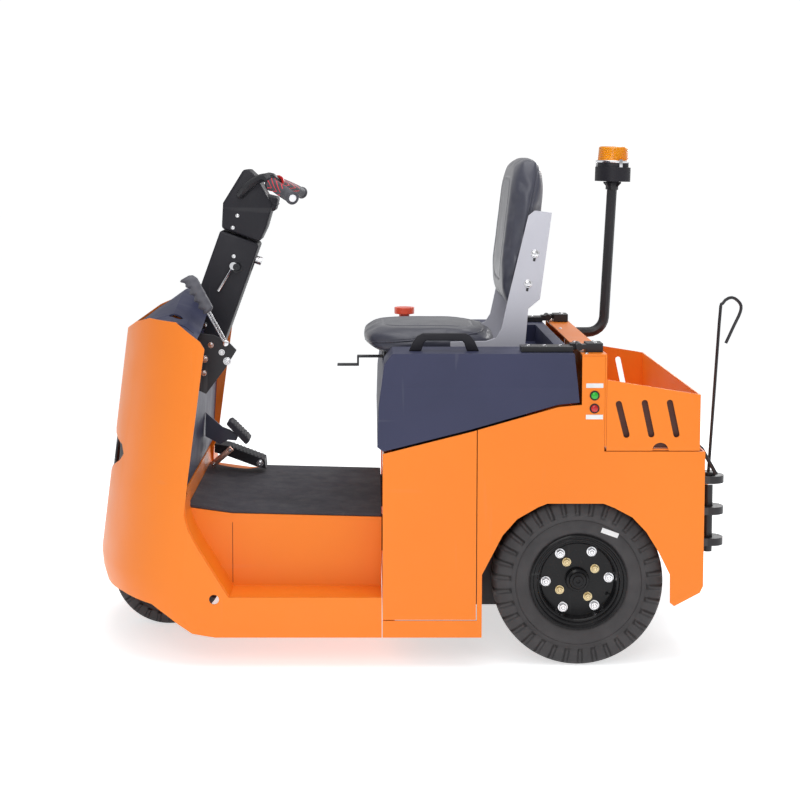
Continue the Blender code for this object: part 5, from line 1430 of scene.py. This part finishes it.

# bolts and screws on the seat bracket, hinges, deck, tray and hitch, and the hitch's welds


def makeSeatBolts():
    bolts, slots = bmesh.new(), bmesh.new()
    for y, z in ((0.2745, 0.993), (0.2575, 0.918)):
        for sign in (1, -1):
            foot = addScrew(bolts, "backrest_bracket", (sign * 0.4, y, z), (-sign, 0, 0), 0.0085)
            place = Matrix.Translation(foot) @ Matrix.Rotation(math.radians(-8), 4, "X")
            addBox(slots, (-0.0006, -0.0030, -0.0190), (0.0006, 0.0030, -0.0060), 0.0005, 1, place)
    finishPiece("seat_bolts", bolts, brightMetal, "seat_hood", 30.0)
    finishPiece("seat_bolt_slots", slots, blackSteel, "seat_hood", 30.0)


def makeHingeScrews():
    hood, fixed = bmesh.new(), bmesh.new()
    for side in ("left", "right"):
        low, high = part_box("hinge_arm_" + side)
        x = (low.x + high.x) / 2
        for share in (0.12, 0.38, 0.64):
            y = low.y + share * (high.y - low.y)
            addScrew(hood, "hinge_arm_" + side, (x, y, 1.0), (0, 0, -1), 0.0042)
        low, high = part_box("hinge_block_" + side)
        for x in ((low.x + high.x) / 2 - 0.013, (low.x + high.x) / 2 + 0.013):
            addScrew(fixed, "hinge_block_" + side, (x, high.y - 0.018, 1.0), (0, 0, -1), 0.0042)
    finishPiece("hinge_screws", hood, brightMetal, "seat_hood", 30.0)
    finishPiece("hinge_block_screws", fixed, brightMetal, "chassis", 30.0)


def makeBodyScrews():
    screws = bmesh.new()
    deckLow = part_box("deck")[0]
    for x in (-0.385, -0.15, 0.15, 0.385):
        addScrew(screws, "deck", (x, deckLow.y + 0.012, 1.0), (0, 0, -1), 0.0045)
    trayLow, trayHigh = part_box("tray")
    for x in (-0.30, 0.0, 0.30):
        for y in (trayLow.y + 0.030, trayHigh.y - 0.030):
            addScrew(screws, "tray", (x, y, 1.0), (0, 0, -1), 0.006, "hex")
    for x in (-0.045, 0.045):
        for z in (0.402, 0.262, 0.202):
            addScrew(screws, "hitch", (x, 1.2, z), (0, -1, 0), 0.0075, "hex")
    finishPiece("body_screws", screws, brightMetal, "chassis", 30.0)


def makeHitchWelds():
    shape = bmesh.new()
    for z in (0.386, 0.303, 0.220):
        for rise in (0.0105, -0.0105):
            y = 0.6790
            addTube(shape, [(-0.031, y, z + rise), (0.0, y, z + rise), (0.031, y, z + rise)], 0.0024, 10)
    finishPiece("hitch_welds", shape, blackSteel, "chassis", 40.0)
    ring = bmesh.new()
    top = Vector((0, 0.758, 0.376))
    band = [
        (0.0150, -0.005), (0.0200, -0.005), (0.0215, -0.004), (0.0215, -0.001), (0.0200, 0.0), (0.0150, 0.0),
    ]
    addTurned(ring, band, top, top + Vector((0, 0, 1)), 40, True)
    finishPiece("hitch_ring", ring, brightMetal, "chassis", 30.0)


makeSeatBolts()
makeHingeScrews()
makeBodyScrews()
makeHitchWelds()
print("screws and welds made")

# floor, light and camera

studioLook = {"fill": 0.45, "floorGlow": 0.60}


def makeStage():
    shape = bmesh.new()
    bmesh.ops.create_grid(shape, x_segments=1, y_segments=1, size=30.0)
    mesh = bpy.data.meshes.new("studioFloor")
    shape.to_mesh(mesh)
    shape.free()
    floor = bpy.data.objects.new("studioFloor", mesh)
    bpy.context.scene.collection.objects.link(floor)
    material, tree, shader = startMaterial("paleFloor", {"Roughness": 0.9, "Specular IOR Level": 0.1})
    shader.inputs["Emission Color"].default_value = (1.0, 1.0, 1.0, 1.0)
    shader.inputs["Emission Strength"].default_value = studioLook["floorGlow"]
    tone = twoTones(tree, 0.4, (0.89, 0.91, 0.93), (0.90, 0.92, 0.94))
    tree.links.new(tone, shader.inputs["Base Color"])
    mesh.materials.append(material)
    world = bpy.data.worlds.new("studio")
    world.use_nodes = True
    sky = world.node_tree
    seen = sky.nodes.new("ShaderNodeLightPath").outputs["Is Camera Ray"]
    strength = put(sky, "MapRange", None, {0: seen, 3: studioLook["fill"], 4: 1.05})
    sky.links.new(strength.outputs[0], sky.nodes["Background"].inputs["Strength"])
    sky.nodes["Background"].inputs["Color"].default_value = (1.0, 1.0, 1.0, 1.0)
    bpy.context.scene.world = world
    bpy.context.scene.view_settings.view_transform = "Standard"


def addLight(name, place, target, size, power):
    data = bpy.data.lights.new(name, "AREA")
    data.shape = "RECTANGLE"
    data.size, data.size_y = size
    data.energy = power
    light = bpy.data.objects.new(name, data)
    light.location = place
    light.rotation_euler = (Vector(target) - Vector(place)).to_track_quat("-Z", "Y").to_euler()
    bpy.context.scene.collection.objects.link(light)


def makeCamera():
    data = bpy.data.cameras.new("camera")
    data.lens = 70.682
    data.sensor_width = 36.0
    data.shift_x = 0.0343
    data.shift_y = -0.15
    camera = bpy.data.objects.new("camera", data)
    camera.location = (4.1071, -0.1316, 1.2437)
    camera.rotation_euler = (math.radians(90 - 4.618), 0.0, math.radians(90))
    bpy.context.scene.collection.objects.link(camera)
    bpy.context.scene.camera = camera


makeStage()
addLight("topSoftbox", (0.6, 0.0, 3.4), (0.0, 0.0, 0.4), (2.4, 3.2), 52.0)
addLight("sideSoftbox", (3.4, -0.4, 2.3), (0.0, 0.1, 0.5), (1.6, 1.6), 26.0)
addLight("rimSoftbox", (-2.6, 1.6, 2.2), (0.0, 0.0, 0.6), (1.4, 1.8), 40.0)
makeCamera()
